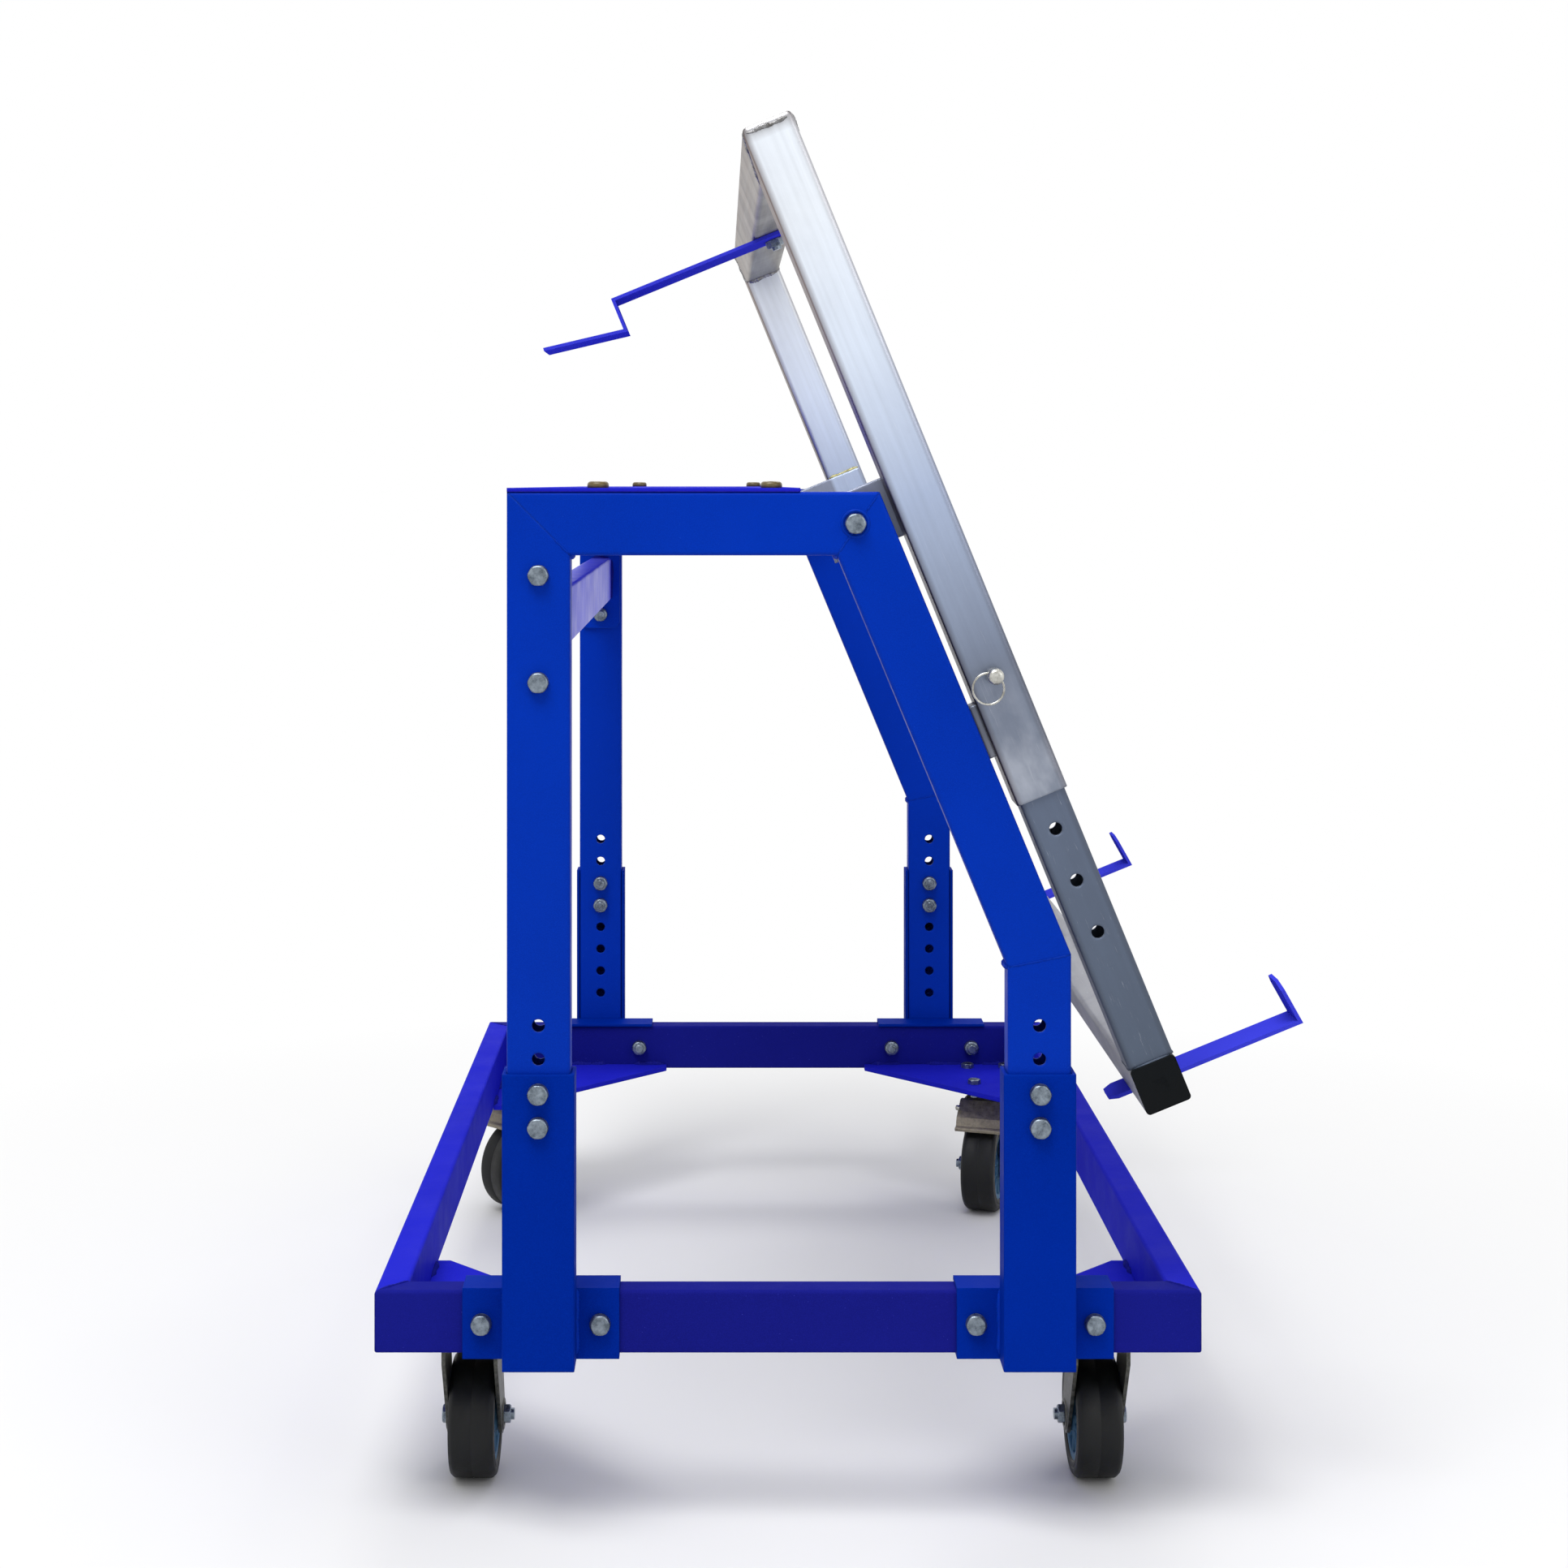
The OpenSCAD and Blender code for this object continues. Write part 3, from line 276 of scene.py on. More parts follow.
def zinc(name, pale, dark, rough=0.30, metal=0.85):
    """Zinc plate: small cloudy crystals and rubbed edges."""
    m = Mat(name).set(metal=metal, rough=rough)
    v = m.coords()
    vor = m.node("ShaderNodeTexVoronoi", Scale=420.0)
    m.link(v, vor.inputs["Vector"])
    cells = m.ramp(vor.outputs["Distance"], [(0.1, 0.0), (0.6, 1.0)])
    cloud = m.noise(v, 140.0, 5.0, 0.65)
    base = m.mix(m.ramp(cloud, [(0.35, 0.0), (0.65, 1.0)]), dark, pale)
    base = m.mix(0.18, base, cells, "MULTIPLY")
    base = m.mix(m.math("MULTIPLY", m.edges(0.0009), 0.6), base, scaled(pale, 1.3))
    m.link(base, m.b.inputs["Base Color"])
    r = m.ramp(cloud, [(0.3, rough - 0.08), (0.7, rough + 0.18)])
    m.link(r, m.b.inputs["Roughness"])
    m.bump(m.noise(v, 900.0, 3.0, 0.6), 0.25, 0.0002, 0.0008)
    return m.m


def rubber(name, col, pale, rough=0.72, bloom_most=0.45, specular=0.22):
    """Rubber with a dry bloom, dust in patches and a fine moulded grain."""
    m = Mat(name).set(rough=rough, specular=specular)
    v = m.coords()
    bloom = m.noise(v, 34.0, 6.0, 0.65)
    base = m.mix(m.ramp(bloom, [(0.40, 0.0), (0.78, bloom_most)]), col, pale)
    grit = m.noise(v, 700.0, 2.0, 0.6)
    base = m.mix(m.ramp(grit, [(0.64, 0.0), (0.74, 0.35)]), base, scaled(pale, 1.2))
    m.link(base, m.b.inputs["Base Color"])
    m.link(m.ramp(bloom, [(0.3, rough - 0.1), (0.7, min(0.95, rough + 0.15))]),
           m.b.inputs["Roughness"])
    m.bump(m.math("ADD", m.noise(v, 520.0, 3.0, 0.6), m.math("MULTIPLY", bloom, 0.6)),
           0.35, 0.0004, 0.0012)
    return m.m


# The colours of the painted parts
FRAME_BLUE = srgb(0, 46, 163)
SADDLE_BLUE = srgb(0, 38, 144)
# Painted shade: the base's end tubes get a darker, shaded copy of the rails' paint
BASE_SHADED_BLUE = srgb(22, 26, 124)
RAIL_BLUE = srgb(28, 32, 180)
# Painted reflection: the cross-beam has the base's paint, made paler to stand for a glossy sheen
BEAM_SHEEN_BLUE = srgb(84, 88, 226)
HOOK_BLUE = srgb(58, 62, 204)
PALE_VIOLET = srgb(96, 98, 225)
# Painted light on the bare rack tubes: their tones by height along the rack, brighter at the top
# and darker lower down
TUBE_PAINTED_LIGHT_TONES = [(0.52, srgb(134, 142, 158)), (0.60, srgb(120, 130, 150)),
              (0.755, srgb(180, 194, 222)), (0.88, srgb(224, 234, 250)),
              (1.0, srgb(240, 246, 254))]
CROSS_TONES = [(0.9, srgb(138, 128, 119)), (1.1, srgb(152, 142, 133))]
INNER_TONES = [(0.24, srgb(86, 98, 116)), (0.50, srgb(98, 110, 132))]
LOWER_CROSS_TONES = [(0.24, srgb(140, 141, 146)), (0.50, srgb(165, 166, 168))]
# The ways that the rack's back and its lower side face, which get painted shade, and the turn to
# its axes
RACK_BACK_WAY = (-math.cos(LEAN), 0.0, -math.sin(LEAN))
RACK_LOW_WAY = (math.sin(LEAN), 0.0, -math.cos(LEAN))
RACK_TURN = (0, LEAN, 0)
MAT = {
    "frame": paint("frame_blue_paint", FRAME_BLUE, srgb(60, 110, 205)),
    "saddle": paint("saddle_blue_paint", SADDLE_BLUE, srgb(20, 74, 176), rough=0.5,
                    specular=0.012),
    "base": paint("base_shaded_blue_paint", BASE_SHADED_BLUE, PALE_VIOLET, rough=0.55, specular=0.012),
    "rail": paint("rail_blue_paint", RAIL_BLUE, PALE_VIOLET, rough=0.55, specular=0.015),
    "beam": paint("beam_painted_sheen_paint", BEAM_SHEEN_BLUE, srgb(150, 152, 238), rough=0.35,
                  specular=0.2),
    "hook": paint("hook_blue_paint", HOOK_BLUE, srgb(128, 130, 232), rough=0.6, speck=0.08,
                  specular=0.0, wear_highlight_r=0.0, round_r=0.0, peel_most=0.04, grain_most=0.12),
    "tube": brushed("rack_tube_steel", TUBE_PAINTED_LIGHT_TONES, RACK_TURN, (1, 1, 0.02), stain=0.45,
                    dull=(RACK_BACK_WAY, (0.42, 0.31, 0.26)), edge_shade=0.75, top=1.0786),
    "cross": brushed("cross_tube_steel", CROSS_TONES, RACK_TURN, (1, 0.03, 1), contrast=0.3,
                     dull=(RACK_LOW_WAY, (0.42, 0.44, 0.46))),
    "inner": brushed("inner_tube_steel", INNER_TONES, RACK_TURN, (1, 1, 0.05), rough=0.46,
                     metal=0.55, contrast=0.12, edge_shade=0.5, half=0.01905),
    "inner_cross": brushed("lower_cross_steel", LOWER_CROSS_TONES, RACK_TURN, (1, 0.05, 1),
                           rough=0.44, metal=0.6, contrast=0.2),
    "zinc": zinc("zinc_plate", srgb(144, 155, 166), srgb(88, 98, 109), rough=0.27),
    "bright": zinc("bright_pin", srgb(208, 208, 202), srgb(150, 148, 140), rough=0.24),
    "weld": zinc("weld_steel", srgb(168, 168, 170), srgb(78, 75, 72), rough=0.36),
    "gold_weld": zinc("yellow_weld", srgb(206, 200, 150), srgb(128, 120, 78), rough=0.40),
    "fork": zinc("fork_zinc", srgb(104, 104, 98), srgb(54, 54, 49), rough=0.40, metal=0.75),
    "pedal": zinc("pedal_steel", srgb(158, 149, 129), srgb(122, 114, 99), rough=0.5, metal=0.2),
    "tyre": rubber("tyre_rubber", srgb(10, 12, 13), srgb(28, 30, 32), rough=0.5, specular=0.3),
    "wheel": rubber("wheel_centre", srgb(62, 102, 134), srgb(94, 132, 160), rough=0.5),
    "cap": rubber("cap_plastic", srgb(4, 7, 10), srgb(18, 24, 30), rough=0.55,
                  bloom_most=0.25, specular=0.12),
}


def bumper_material():
    """Cloudy yellowish soft rubber that lets a little light in."""
    m = Mat("bumper_rubber").set(rough=0.30, sss=0.2, sss_scale=0.0015, trans=0.06, ior=1.45)
    m.b.inputs["Subsurface Radius"].default_value = (1.0, 0.75, 0.35)
    v = m.coords()
    cloud = m.noise(v, 160.0, 4.0, 0.6)
    m.link(m.mix(m.ramp(cloud, [(0.3, 0.0), (0.7, 1.0)]),
                 srgb(78, 62, 26), srgb(116, 102, 62)), m.b.inputs["Base Color"])
    m.bump(m.noise(v, 500.0, 3.0, 0.5), 0.2, 0.0003)
    return m.m


MAT["bumper"] = bumper_material()


def node_material(name):
    """The key of the material that a CAD node gets."""
    if name.startswith("base_end"):
        return "base"
    if name.startswith(("base_rail", "corner_plates", "top_deck")):
        return "rail"
    if name == "cross_beam":
        return "beam"
    if name in ("top_hook", "bottom_hooks"):
        return "hook"
    if name in ("saddles", "leg_sockets"):
        return "saddle"
    if name.startswith(("post_", "top_bar", "sloped_leg", "lower_leg", "beam_end_plates")):
        return "frame"
    if name == "top_cross_tube":
        return "cross"
    if name == "lower_cross_tube":
        return "inner_cross"
    for start, key in (("side_tube", "tube"), ("pivot_brackets", "tube"),
                       ("stop_pads", "tube"), ("inner_tube", "inner"), ("bumpers", "bumper"),
                       ("end_caps", "cap"), ("tyre", "tyre"), ("wheel", "wheel"),
                       ("pedal", "pedal"), ("fork", "fork"), ("caster_plates", "fork")):
        if name.startswith(start):
            return key
    return "bright" if name.startswith("lock_") else "zinc"


def smooth(obj, angle=35.0):
    """Smooth shading, with edges sharper than the angle kept sharp."""
    me = obj.data
    limit = math.radians(angle)
    bm = bmesh.new()
    bm.from_mesh(me)
    flags = [len(e.link_faces) != 2 or e.calc_face_angle(0.0) > limit for e in bm.edges]
    bm.free()
    me.polygons.foreach_set("use_smooth", [True] * len(me.polygons))
    att = me.attributes.get("sharp_edge") or me.attributes.new("sharp_edge", "BOOLEAN", "EDGE")
    att.data.foreach_set("value", flags)


for name, obj in NODES.items():
    obj.data.materials.clear()
    obj.data.materials.append(MAT[node_material(name)])


# ---------------------------------------------------------------- pieces
def mm(x, y, z):
    """A point of the cart in the drawing's millimetres."""
    return Vector((x / 1000.0 - MID_X, y / 1000.0, z / 1000.0))


def on_rack(x, y, z):
    """A point of the rack's own frame, given in millimetres, in the cart's frame."""
    x, y, z = x / 1000.0, y / 1000.0, z / 1000.0
    c, s = math.cos(LEAN), math.sin(LEAN)
    return Vector((PIVOT.x + x * c - z * s, y, PIVOT.z + x * s + z * c))


def piece(name, verts, faces, mat, body, angle=40.0, replaces=()):
    """A mesh piece with outward faces, its material, and the body that it rides on."""
    me = bpy.data.meshes.new(name)
    bm = bmesh.new()
    vs = [bm.verts.new(v) for v in verts]
    for f in faces:
        bm.faces.new([vs[i] for i in f])
    bmesh.ops.recalc_face_normals(bm, faces=bm.faces)
    bm.to_mesh(me)
    bm.free()
    obj = bpy.data.objects.new(name, me)
    bpy.context.scene.collection.objects.link(obj)
    me.materials.append(MAT[mat])
    smooth(obj, angle)
    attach(obj, body)
    if replaces:
        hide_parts(*replaces)
    return obj


# The length of one step along a weld bead, and how many steps one of its lumps takes
BEAD_STEP = 0.0011
LUMP_STEPS = 5


def circle(matrix, r, h, n):
    """A ring of points round the matrix's Z axis."""
    return [matrix @ Vector((r * math.cos(2 * math.pi * i / n),
                             r * math.sin(2 * math.pi * i / n), h)) for i in range(n)]


class Mesh:
    """Collects the vertices and faces of one piece."""

    def __init__(self):
        self.v = []
        self.f = []

    def rings(self, rings, cap_ends=True, closed=False):
        """Joins rings of points, each with the same count, and closes the two ends."""
        n = len(rings[0])
        start = len(self.v)
        for r in rings:
            self.v.extend(r)
        count = len(rings)
        for i in range(count if closed else count - 1):
            a, b = start + i * n, start + ((i + 1) % count) * n
            for j in range(n):
                k = (j + 1) % n
                self.f.append((a + j, a + k, b + k, b + j))
        if cap_ends and not closed:
            self.f.append(tuple(start + j for j in range(n)))
            self.f.append(tuple(start + (count - 1) * n + j for j in range(n)))

    def lathe(self, profile, matrix, n=48):
        """Turns a closed outline of (radius, height) round the matrix's Z axis."""
        rings = []
        for i in range(n):
            a = 2 * math.pi * i / n
            rings.append([matrix @ Vector((r * math.cos(a), r * math.sin(a), h))
                          for r, h in profile])
        self.rings(rings, closed=True)

    def solid(self, profile, matrix, n=48):
        """Turns an open outline that starts and ends on the axis: a solid of revolution."""
        rings = [circle(matrix, r, h, n) for r, h in profile[1:-1]]
        start = len(self.v)
        self.rings(rings, cap_ends=False)
        first, last = len(self.v), len(self.v) + 1
        self.v.append(matrix @ Vector((0, 0, profile[0][1])))
        self.v.append(matrix @ Vector((0, 0, profile[-1][1])))
        end = start + (len(rings) - 1) * n
        for j in range(n):
            k = (j + 1) % n
            self.f.append((first, start + k, start + j))
            self.f.append((last, end + j, end + k))

    def bead(self, points, radius, rough, pitch, sides=10):
        """A weld bead along a line of points, rippled and uneven, with tapered ends."""
        fine = []
        for a, b in zip(points, points[1:]):
            steps = max(2, int((b - a).length / BEAD_STEP))
            fine += [a.lerp(b, i / steps) for i in range(steps)]
        fine.append(points[-1])
        rings = []
        n = len(fine)
        phase = RNG.random() * 6
        lump = [RNG.uniform(-1, 1) for _ in range(n // LUMP_STEPS + 3)]
        run = 0.0
        for i, p in enumerate(fine):
            d = (fine[min(i + 1, n - 1)] - fine[max(i - 1, 0)]).normalized()
            side = d.cross(Vector((0.31, 0.52, 0.79))).normalized()
            up = d.cross(side).normalized()
            if i:
                run += (p - fine[i - 1]).length
            q = i / LUMP_STEPS
            wave = lump[int(q)] * (1 - q % 1) + lump[int(q) + 1] * (q % 1)
            r = radius * (1 + rough * wave + 0.10 * math.sin(phase + 2 * math.pi * run / pitch))
            end = min(i, n - 1 - i) / 4.0
            r *= min(1.0, 0.35 + 0.65 * end)
            shift = side * RNG.uniform(-1, 1) + up * RNG.uniform(-1, 1)
            shift = shift * radius * rough * 0.35
            rings.append([p + shift + (side * math.cos(t) + up * math.sin(t)) * r
                          for t in [2 * math.pi * k / sides for k in range(sides)]])
        self.rings(rings)

    def make(self, name, mat, body, angle=40.0, replaces=()):
        return piece(name, self.v, self.f, mat, body, angle, replaces)


# The places of the cart's parts, in the drawing's millimetres
BASE_Z, BASE_TOP, FRAME_TOP = 142.9, 193.7, 841.0
HALF_W, HALF_L, TUBE_T = 335.0, 482.5, 25.4
POST_X, LEG_X, POST_OUT, LEG_OUT = -200.0, 200.0, -225.4, 225.4
CORNER_X, KNEE_Z, TUBE_W = 72.4, 471.6, 50.8
LEG_FACE_Y, LEG_BACK_Y, SADDLE_Y = 511.4, 486.0, 485.7
BEAM_Z, BEAM_H, BEAM_T = 731.55, 50.8, 25.4
# The same on the rack, in its own frame
RACK_BACK, RACK_MID, RACK_FRONT, RACK_TOP = 34.4, 55.9, 77.4, 325.6
RACK_TUBE_W, TUBE_IN_Y, BRACKET_Z = 42.0, 468.4, 25.4
INNER_LOW, INNER_HALF, INNER_OUT_Y, INNER_IN_Y = -487.6, 19.05, 508.7, 470.85
SLOPE = math.radians(22.5)
# Weld beads: radius in metres, unevenness, ripple pitch in metres and sides
MITRE_BEAD = (0.0009, 0.25, 0.004, 8)
INNER_BEAD = (0.0030, 0.15, 0.003)
BASE_MITRE_BEAD = (0.0011, 0.3, 0.004, 8)
BASE_CORNER_BEAD = (0.0015, 0.2, 0.003, 8)
BASE_INNER_BEAD = (0.0026, 0.25, 0.003)
STITCH_BEAD = (0.0030, 0.35, 0.0036)
SOCKET_BEAD = (0.0022, 0.2, 0.0030)
BEAM_BEAD = (0.0026, 0.3, 0.003)
RACK_TOP_BEAD = (0.0018, 0.38, 0.0034, 14)
RACK_EDGE_BEAD = (0.0014, 0.4, 0.0034, 8)
RACK_LOW_BEAD = (0.0030, 0.35, 0.0034)
BRACKET_BEAD = (0.0021, 0.35, 0.0036)
LOWER_BEAD = (0.0009, 0.3, 0.0034, 8)
# The runs of a corner plate's stitches, from the corner outwards, and how far each may shift
STITCHES = ((8, 48), (74, 118), (150, 186))
STITCH_SHIFT = 5
# The wavy run over the rack's top corner: across the tube, and down from its top
RACK_TOP_RUN = ((2.5, 4.2), (9, 5.2), (15, 3.8), (24, 5.0), (38, 4.0))
ENDS = (("near", -1), ("far", 1))
SIDES = (("left", -1), ("right", 1))


def inner_corner(outer, a, b):
    """The inner corner of two bars that meet: outer corner, and the two bars' directions."""
    na = Vector((-a.z, 0, a.x))
    nb = Vector((-b.z, 0, b.x))
    # Both bars lie on the side that the other one runs to
    na = na if na.dot(b) > 0 else -na
    nb = nb if nb.dot(a) > 0 else -nb
    bisector = (na + nb) / (1 + na.dot(nb))
    return outer + bisector * TUBE_W


down = Vector((0, 0, -1))
along = Vector((1, 0, 0))
slant = Vector((math.sin(SLOPE), 0, -math.cos(SLOPE)))
corner_left = Vector((POST_OUT, 0, FRAME_TOP))
corner_right = Vector((CORNER_X, 0, FRAME_TOP))
knee = Vector((LEG_OUT, 0, KNEE_Z))
in_left = inner_corner(corner_left, down, along)
in_right = inner_corner(corner_right, -along, slant)
in_knee = inner_corner(knee, -slant, down)


def at_y(p, y):
    """A corner of the end frame, put at a place along Y."""
    return mm(p.x, y, p.z)


# Ground welds on the end frames: thin lines over the mitres, and beads in the inner corners
for end, s in ENDS:
    w = Mesh()
    face = s * (LEG_FACE_Y - 0.35)
    back = s * (LEG_BACK_Y + 0.35)
    for outer, inner, part in ((corner_left, in_left, 0.30), (corner_right, in_right, 1.0),
                               (knee, in_knee, 1.0)):
        for y in (face, back):
            a = at_y(inner, y)
            b = at_y(inner.lerp(outer, part), y)
            a = a.lerp(b, 0.02)
            b = a.lerp(b, 0.97)
            w.bead([a, b], *MITRE_BEAD)
        w.bead([at_y(inner, s * (LEG_FACE_Y - 2.0)), at_y(inner, s * (LEG_BACK_Y + 2.0))],
               *INNER_BEAD)
    w.make(f"frame_welds_{end}", "frame", "stand")

# Welds of the base: the mitres above and below, the corners and the corner plates
w = Mesh()
in_w, in_l = HALF_W - TUBE_T, HALF_L - TUBE_T
for end, s in ENDS:
    for side, q in SIDES:
        for z in (BASE_TOP - 0.2, BASE_Z + 0.2):
            w.bead([mm(q * (HALF_W - 3), s * (HALF_L - 3), z),
                    mm(q * (in_w + 1), s * (in_l + 1), z)], *BASE_MITRE_BEAD)
        w.bead([mm(q * (HALF_W - 2.0), s * (HALF_L - 2.0), z)
                for z in (BASE_Z + 4, BASE_TOP - 4)], *BASE_CORNER_BEAD)
        w.bead([mm(q * (in_w - 0.3), s * (in_l - 0.3), z)
                for z in (BASE_Z + 6, BASE_TOP - 3)], *BASE_INNER_BEAD)
        # The corner plate is stitched to both tubes, with gaps between the runs
        top = BASE_Z + 5.0
        for lo, hi in STITCHES:
            jitter = RNG.uniform(-STITCH_SHIFT, STITCH_SHIFT)
            a, b = lo + jitter, hi + jitter
            w.bead([mm(q * (in_w - a), s * in_l, top), mm(q * (in_w - b), s * in_l, top)],
                   *STITCH_BEAD)
            w.bead([mm(q * in_w, s * (in_l - a), top), mm(q * in_w, s * (in_l - b), top)],
                   *STITCH_BEAD)
w.make("base_welds", "base", "stand")

# Welds of the sockets on their saddles, and of the cross-beam on its end plates
for end, s in ENDS:
    w = Mesh()
    y = s * (SADDLE_Y + 0.3)
    for x in (POST_X, LEG_X):
        for q in (-1, 1):
            edge = x + q * (TUBE_W / 2 + 3.5)
            w.bead([mm(edge, y, BASE_Z + 1), mm(edge, y, BASE_TOP + 2.5)], *SOCKET_BEAD)
    w.make(f"socket_welds_{end}", "frame", "stand")
w = Mesh()
for end, s in ENDS:
    y = s * (LEG_BACK_Y - 4.8)
    for q in (-1, 1):
        x = POST_X + q * BEAM_T / 2
        z = BEAM_Z + q * BEAM_H / 2
        w.bead([mm(x, y, BEAM_Z - BEAM_H / 2 + 2), mm(x, y, BEAM_Z + BEAM_H / 2 - 2)],
               *BEAM_BEAD)
        w.bead([mm(POST_X - BEAM_T / 2 + 2, y, z), mm(POST_X + BEAM_T / 2 - 2, y, z)],
               *BEAM_BEAD)
w.make("beam_welds", "base", "stand")

# Welds of the rack: the two top corners, the pivot brackets and the two lower corners
for end, s in ENDS:
    w = Mesh()
    y = s * LEG_FACE_Y
    w.bead([on_rack(RACK_BACK + across, y, RACK_TOP - drop) for across, drop in RACK_TOP_RUN],
           *RACK_TOP_BEAD)
    for x in (RACK_BACK + 0.2, RACK_FRONT - 0.2):
        w.bead([on_rack(x, s * (LEG_FACE_Y - 3), RACK_TOP - 3),
                on_rack(x, s * (TUBE_IN_Y + 1), RACK_TOP - RACK_TUBE_W)], *RACK_EDGE_BEAD)
    z = RACK_TOP - RACK_TUBE_W - 1
    w.bead([on_rack(RACK_BACK + 3, s * TUBE_IN_Y, z), on_rack(RACK_FRONT - 3, s * TUBE_IN_Y, z)],
           *RACK_LOW_BEAD)
    w.make(f"rack_corner_welds_{end}", "weld", "rack")
    g = Mesh()
    y = s * (TUBE_IN_Y - 1.3)
    for z in (BRACKET_Z + 0.6, -BRACKET_Z - 0.6):
        g.bead([on_rack(RACK_BACK + 2, y, z), on_rack(RACK_FRONT - 3, y, z)], *BRACKET_BEAD)
    g.make(f"bracket_welds_{end}", "gold_weld", "rack")
    low = Mesh()
    for x in (RACK_MID - INNER_HALF, RACK_MID + INNER_HALF):
        low.bead([on_rack(x, s * 507.0, INNER_LOW), on_rack(x, s * 472.5, INNER_LOW)],
                 *LOWER_BEAD)
    for y in (INNER_OUT_Y, INNER_IN_Y):
        low.bead([on_rack(RACK_MID - 16, s * y, INNER_LOW),
                  on_rack(RACK_MID + 16, s * y, INNER_LOW)], *LOWER_BEAD)
    low.make(f"lower_corner_welds_{end}", "inner", "lower_rack")


def facing(point, s):
    """Z points out of an end of the cart, from the given point."""
    return Matrix.Translation(point) @ Matrix.Rotation(math.radians(90.0 * -s), 4, "X")


# Thin washers round the pivot bolts' heads
PIVOT_X, PIVOT_Z = 53.1, 815.6
WASHER = [(0.0094, -0.0002), (0.0094, 0.0007), (0.0112, 0.0007), (0.0117, 0.0002),
          (0.0117, -0.0002)]
w = Mesh()
for end, s in ENDS:
    w.lathe(WASHER, facing(mm(PIVOT_X, s * LEG_FACE_Y, PIVOT_Z), s), 64)
w.make("pivot_washers", "frame", "stand")

# Bolts and nuts with cut corners and a washer face, their threads standing out of the nuts
BOLT_R, FLATS, HEAD_H, NUT_H, THREAD_OUT = 0.0050, 0.0160, 0.0064, 0.0080, 0.0030
SEAT_R, NUT_HOLE_R, DISH, SEAT_H, NUT_SEAT_H = 0.0084, 0.0054, 0.00015, 0.0006, 0.0005
THREAD_PITCH, THREAD_TURNS = 0.0012, 2
SADDLE_BOLT_X, SADDLE_BOLT_Z, SADDLE_STACK = 48.0, 168.3, 0.0286
LEG_BOLT_Y, LEG_BOLTS_Z, LEG_STACK = 514.9, (334.8, 361.5), 0.0289
BEAM_BOLTS_Z, BEAM_STACK = (774.3, 688.8), 0.0302
PIVOT_STACK, SPACER_R, SPACER_ENDS = 0.0481, 0.0095, (0.0254, 0.0427)
HEX_POINTS = 48
# How far in from the end face, and how far out from the flats, the cut corners run
HEX_CUT = ((0.0, -0.0014), (0.0002, -0.0008), (0.0006, -0.0002), (0.0012, 0.0003),
           (0.0022, 0.0006))
CORNER_R = FLATS / 2 + HEX_CUT[-1][1]


def hex_ring(matrix, height, most):
    """A hexagon whose corners are cut back to a radius."""
    ring = []
    for i in range(HEX_POINTS):
        a = 2 * math.pi * i / HEX_POINTS
        to_flat = (a % (math.pi / 3)) - math.pi / 6
        r = min(most, FLATS / 2 / math.cos(to_flat))
        ring.append(matrix @ Vector((r * math.cos(a), r * math.sin(a), height)))
    return ring


def add_bolt(mesh, point, s, stack):
    """One closed solid: a head at the point's seat, a shank, a nut and the thread's end."""
    m = facing(point, -s)
    end = stack + NUT_H

    def plain(height, r):
        return circle(m, r, height, HEX_POINTS)

    rings = [plain(-HEAD_H + DISH, BOLT_R)]
    rings += [hex_ring(m, -HEAD_H + h, FLATS / 2 + r) for h, r in HEX_CUT]
    rings += [hex_ring(m, -SEAT_H, CORNER_R), plain(0.0, SEAT_R), plain(0.0, BOLT_R),
              plain(stack, BOLT_R), plain(stack, SEAT_R),
              hex_ring(m, stack + NUT_SEAT_H, CORNER_R)]
    rings += [hex_ring(m, end - h, FLATS / 2 + r) for h, r in reversed(HEX_CUT)]
    rings += [plain(end, NUT_HOLE_R), plain(end - 0.0003, BOLT_R)]
    for k in range(THREAD_TURNS):
        base = end + THREAD_PITCH * k
        rings += [plain(base + 0.0002, BOLT_R), plain(base + 0.0007, BOLT_R - 0.0005)]
    rings += [plain(end + 0.0025, BOLT_R - 0.0001), plain(end + THREAD_OUT, BOLT_R - 0.0008)]
    mesh.rings(rings)


frame_bolts = Mesh()
pivots = Mesh()
for end, s in ENDS:
    for x in (POST_X, LEG_X):
        for q in (-1, 1):
            add_bolt(frame_bolts, mm(x + q * SADDLE_BOLT_X, s * SADDLE_Y, SADDLE_BOLT_Z), s,
                     SADDLE_STACK)
        for z in LEG_BOLTS_Z:
            add_bolt(frame_bolts, mm(x, s * LEG_BOLT_Y, z), s, LEG_STACK)
    for z in BEAM_BOLTS_Z:
        add_bolt(frame_bolts, mm(POST_X, s * LEG_FACE_Y, z), s, BEAM_STACK)
    pivot_seat = mm(PIVOT_X, s * LEG_FACE_Y, PIVOT_Z)
    add_bolt(pivots, pivot_seat, s, PIVOT_STACK)
    # The spacer between the end frame and the rack
    lo, hi = SPACER_ENDS
    bore, cut = BOLT_R + 0.0001, 0.0005
    pivots.lathe([(bore, lo), (SPACER_R - cut, lo), (SPACER_R, lo + cut), (SPACER_R, hi - cut),
                  (SPACER_R - cut, hi), (bore, hi)], facing(pivot_seat, -s), 64)
frame_bolts.make("frame_bolts_cut", "zinc", "stand", 32.0, ("frame_bolts",))
pivots.make("pivot_bolts_cut", "zinc", "stand", 32.0, ("pivot_bolts",))

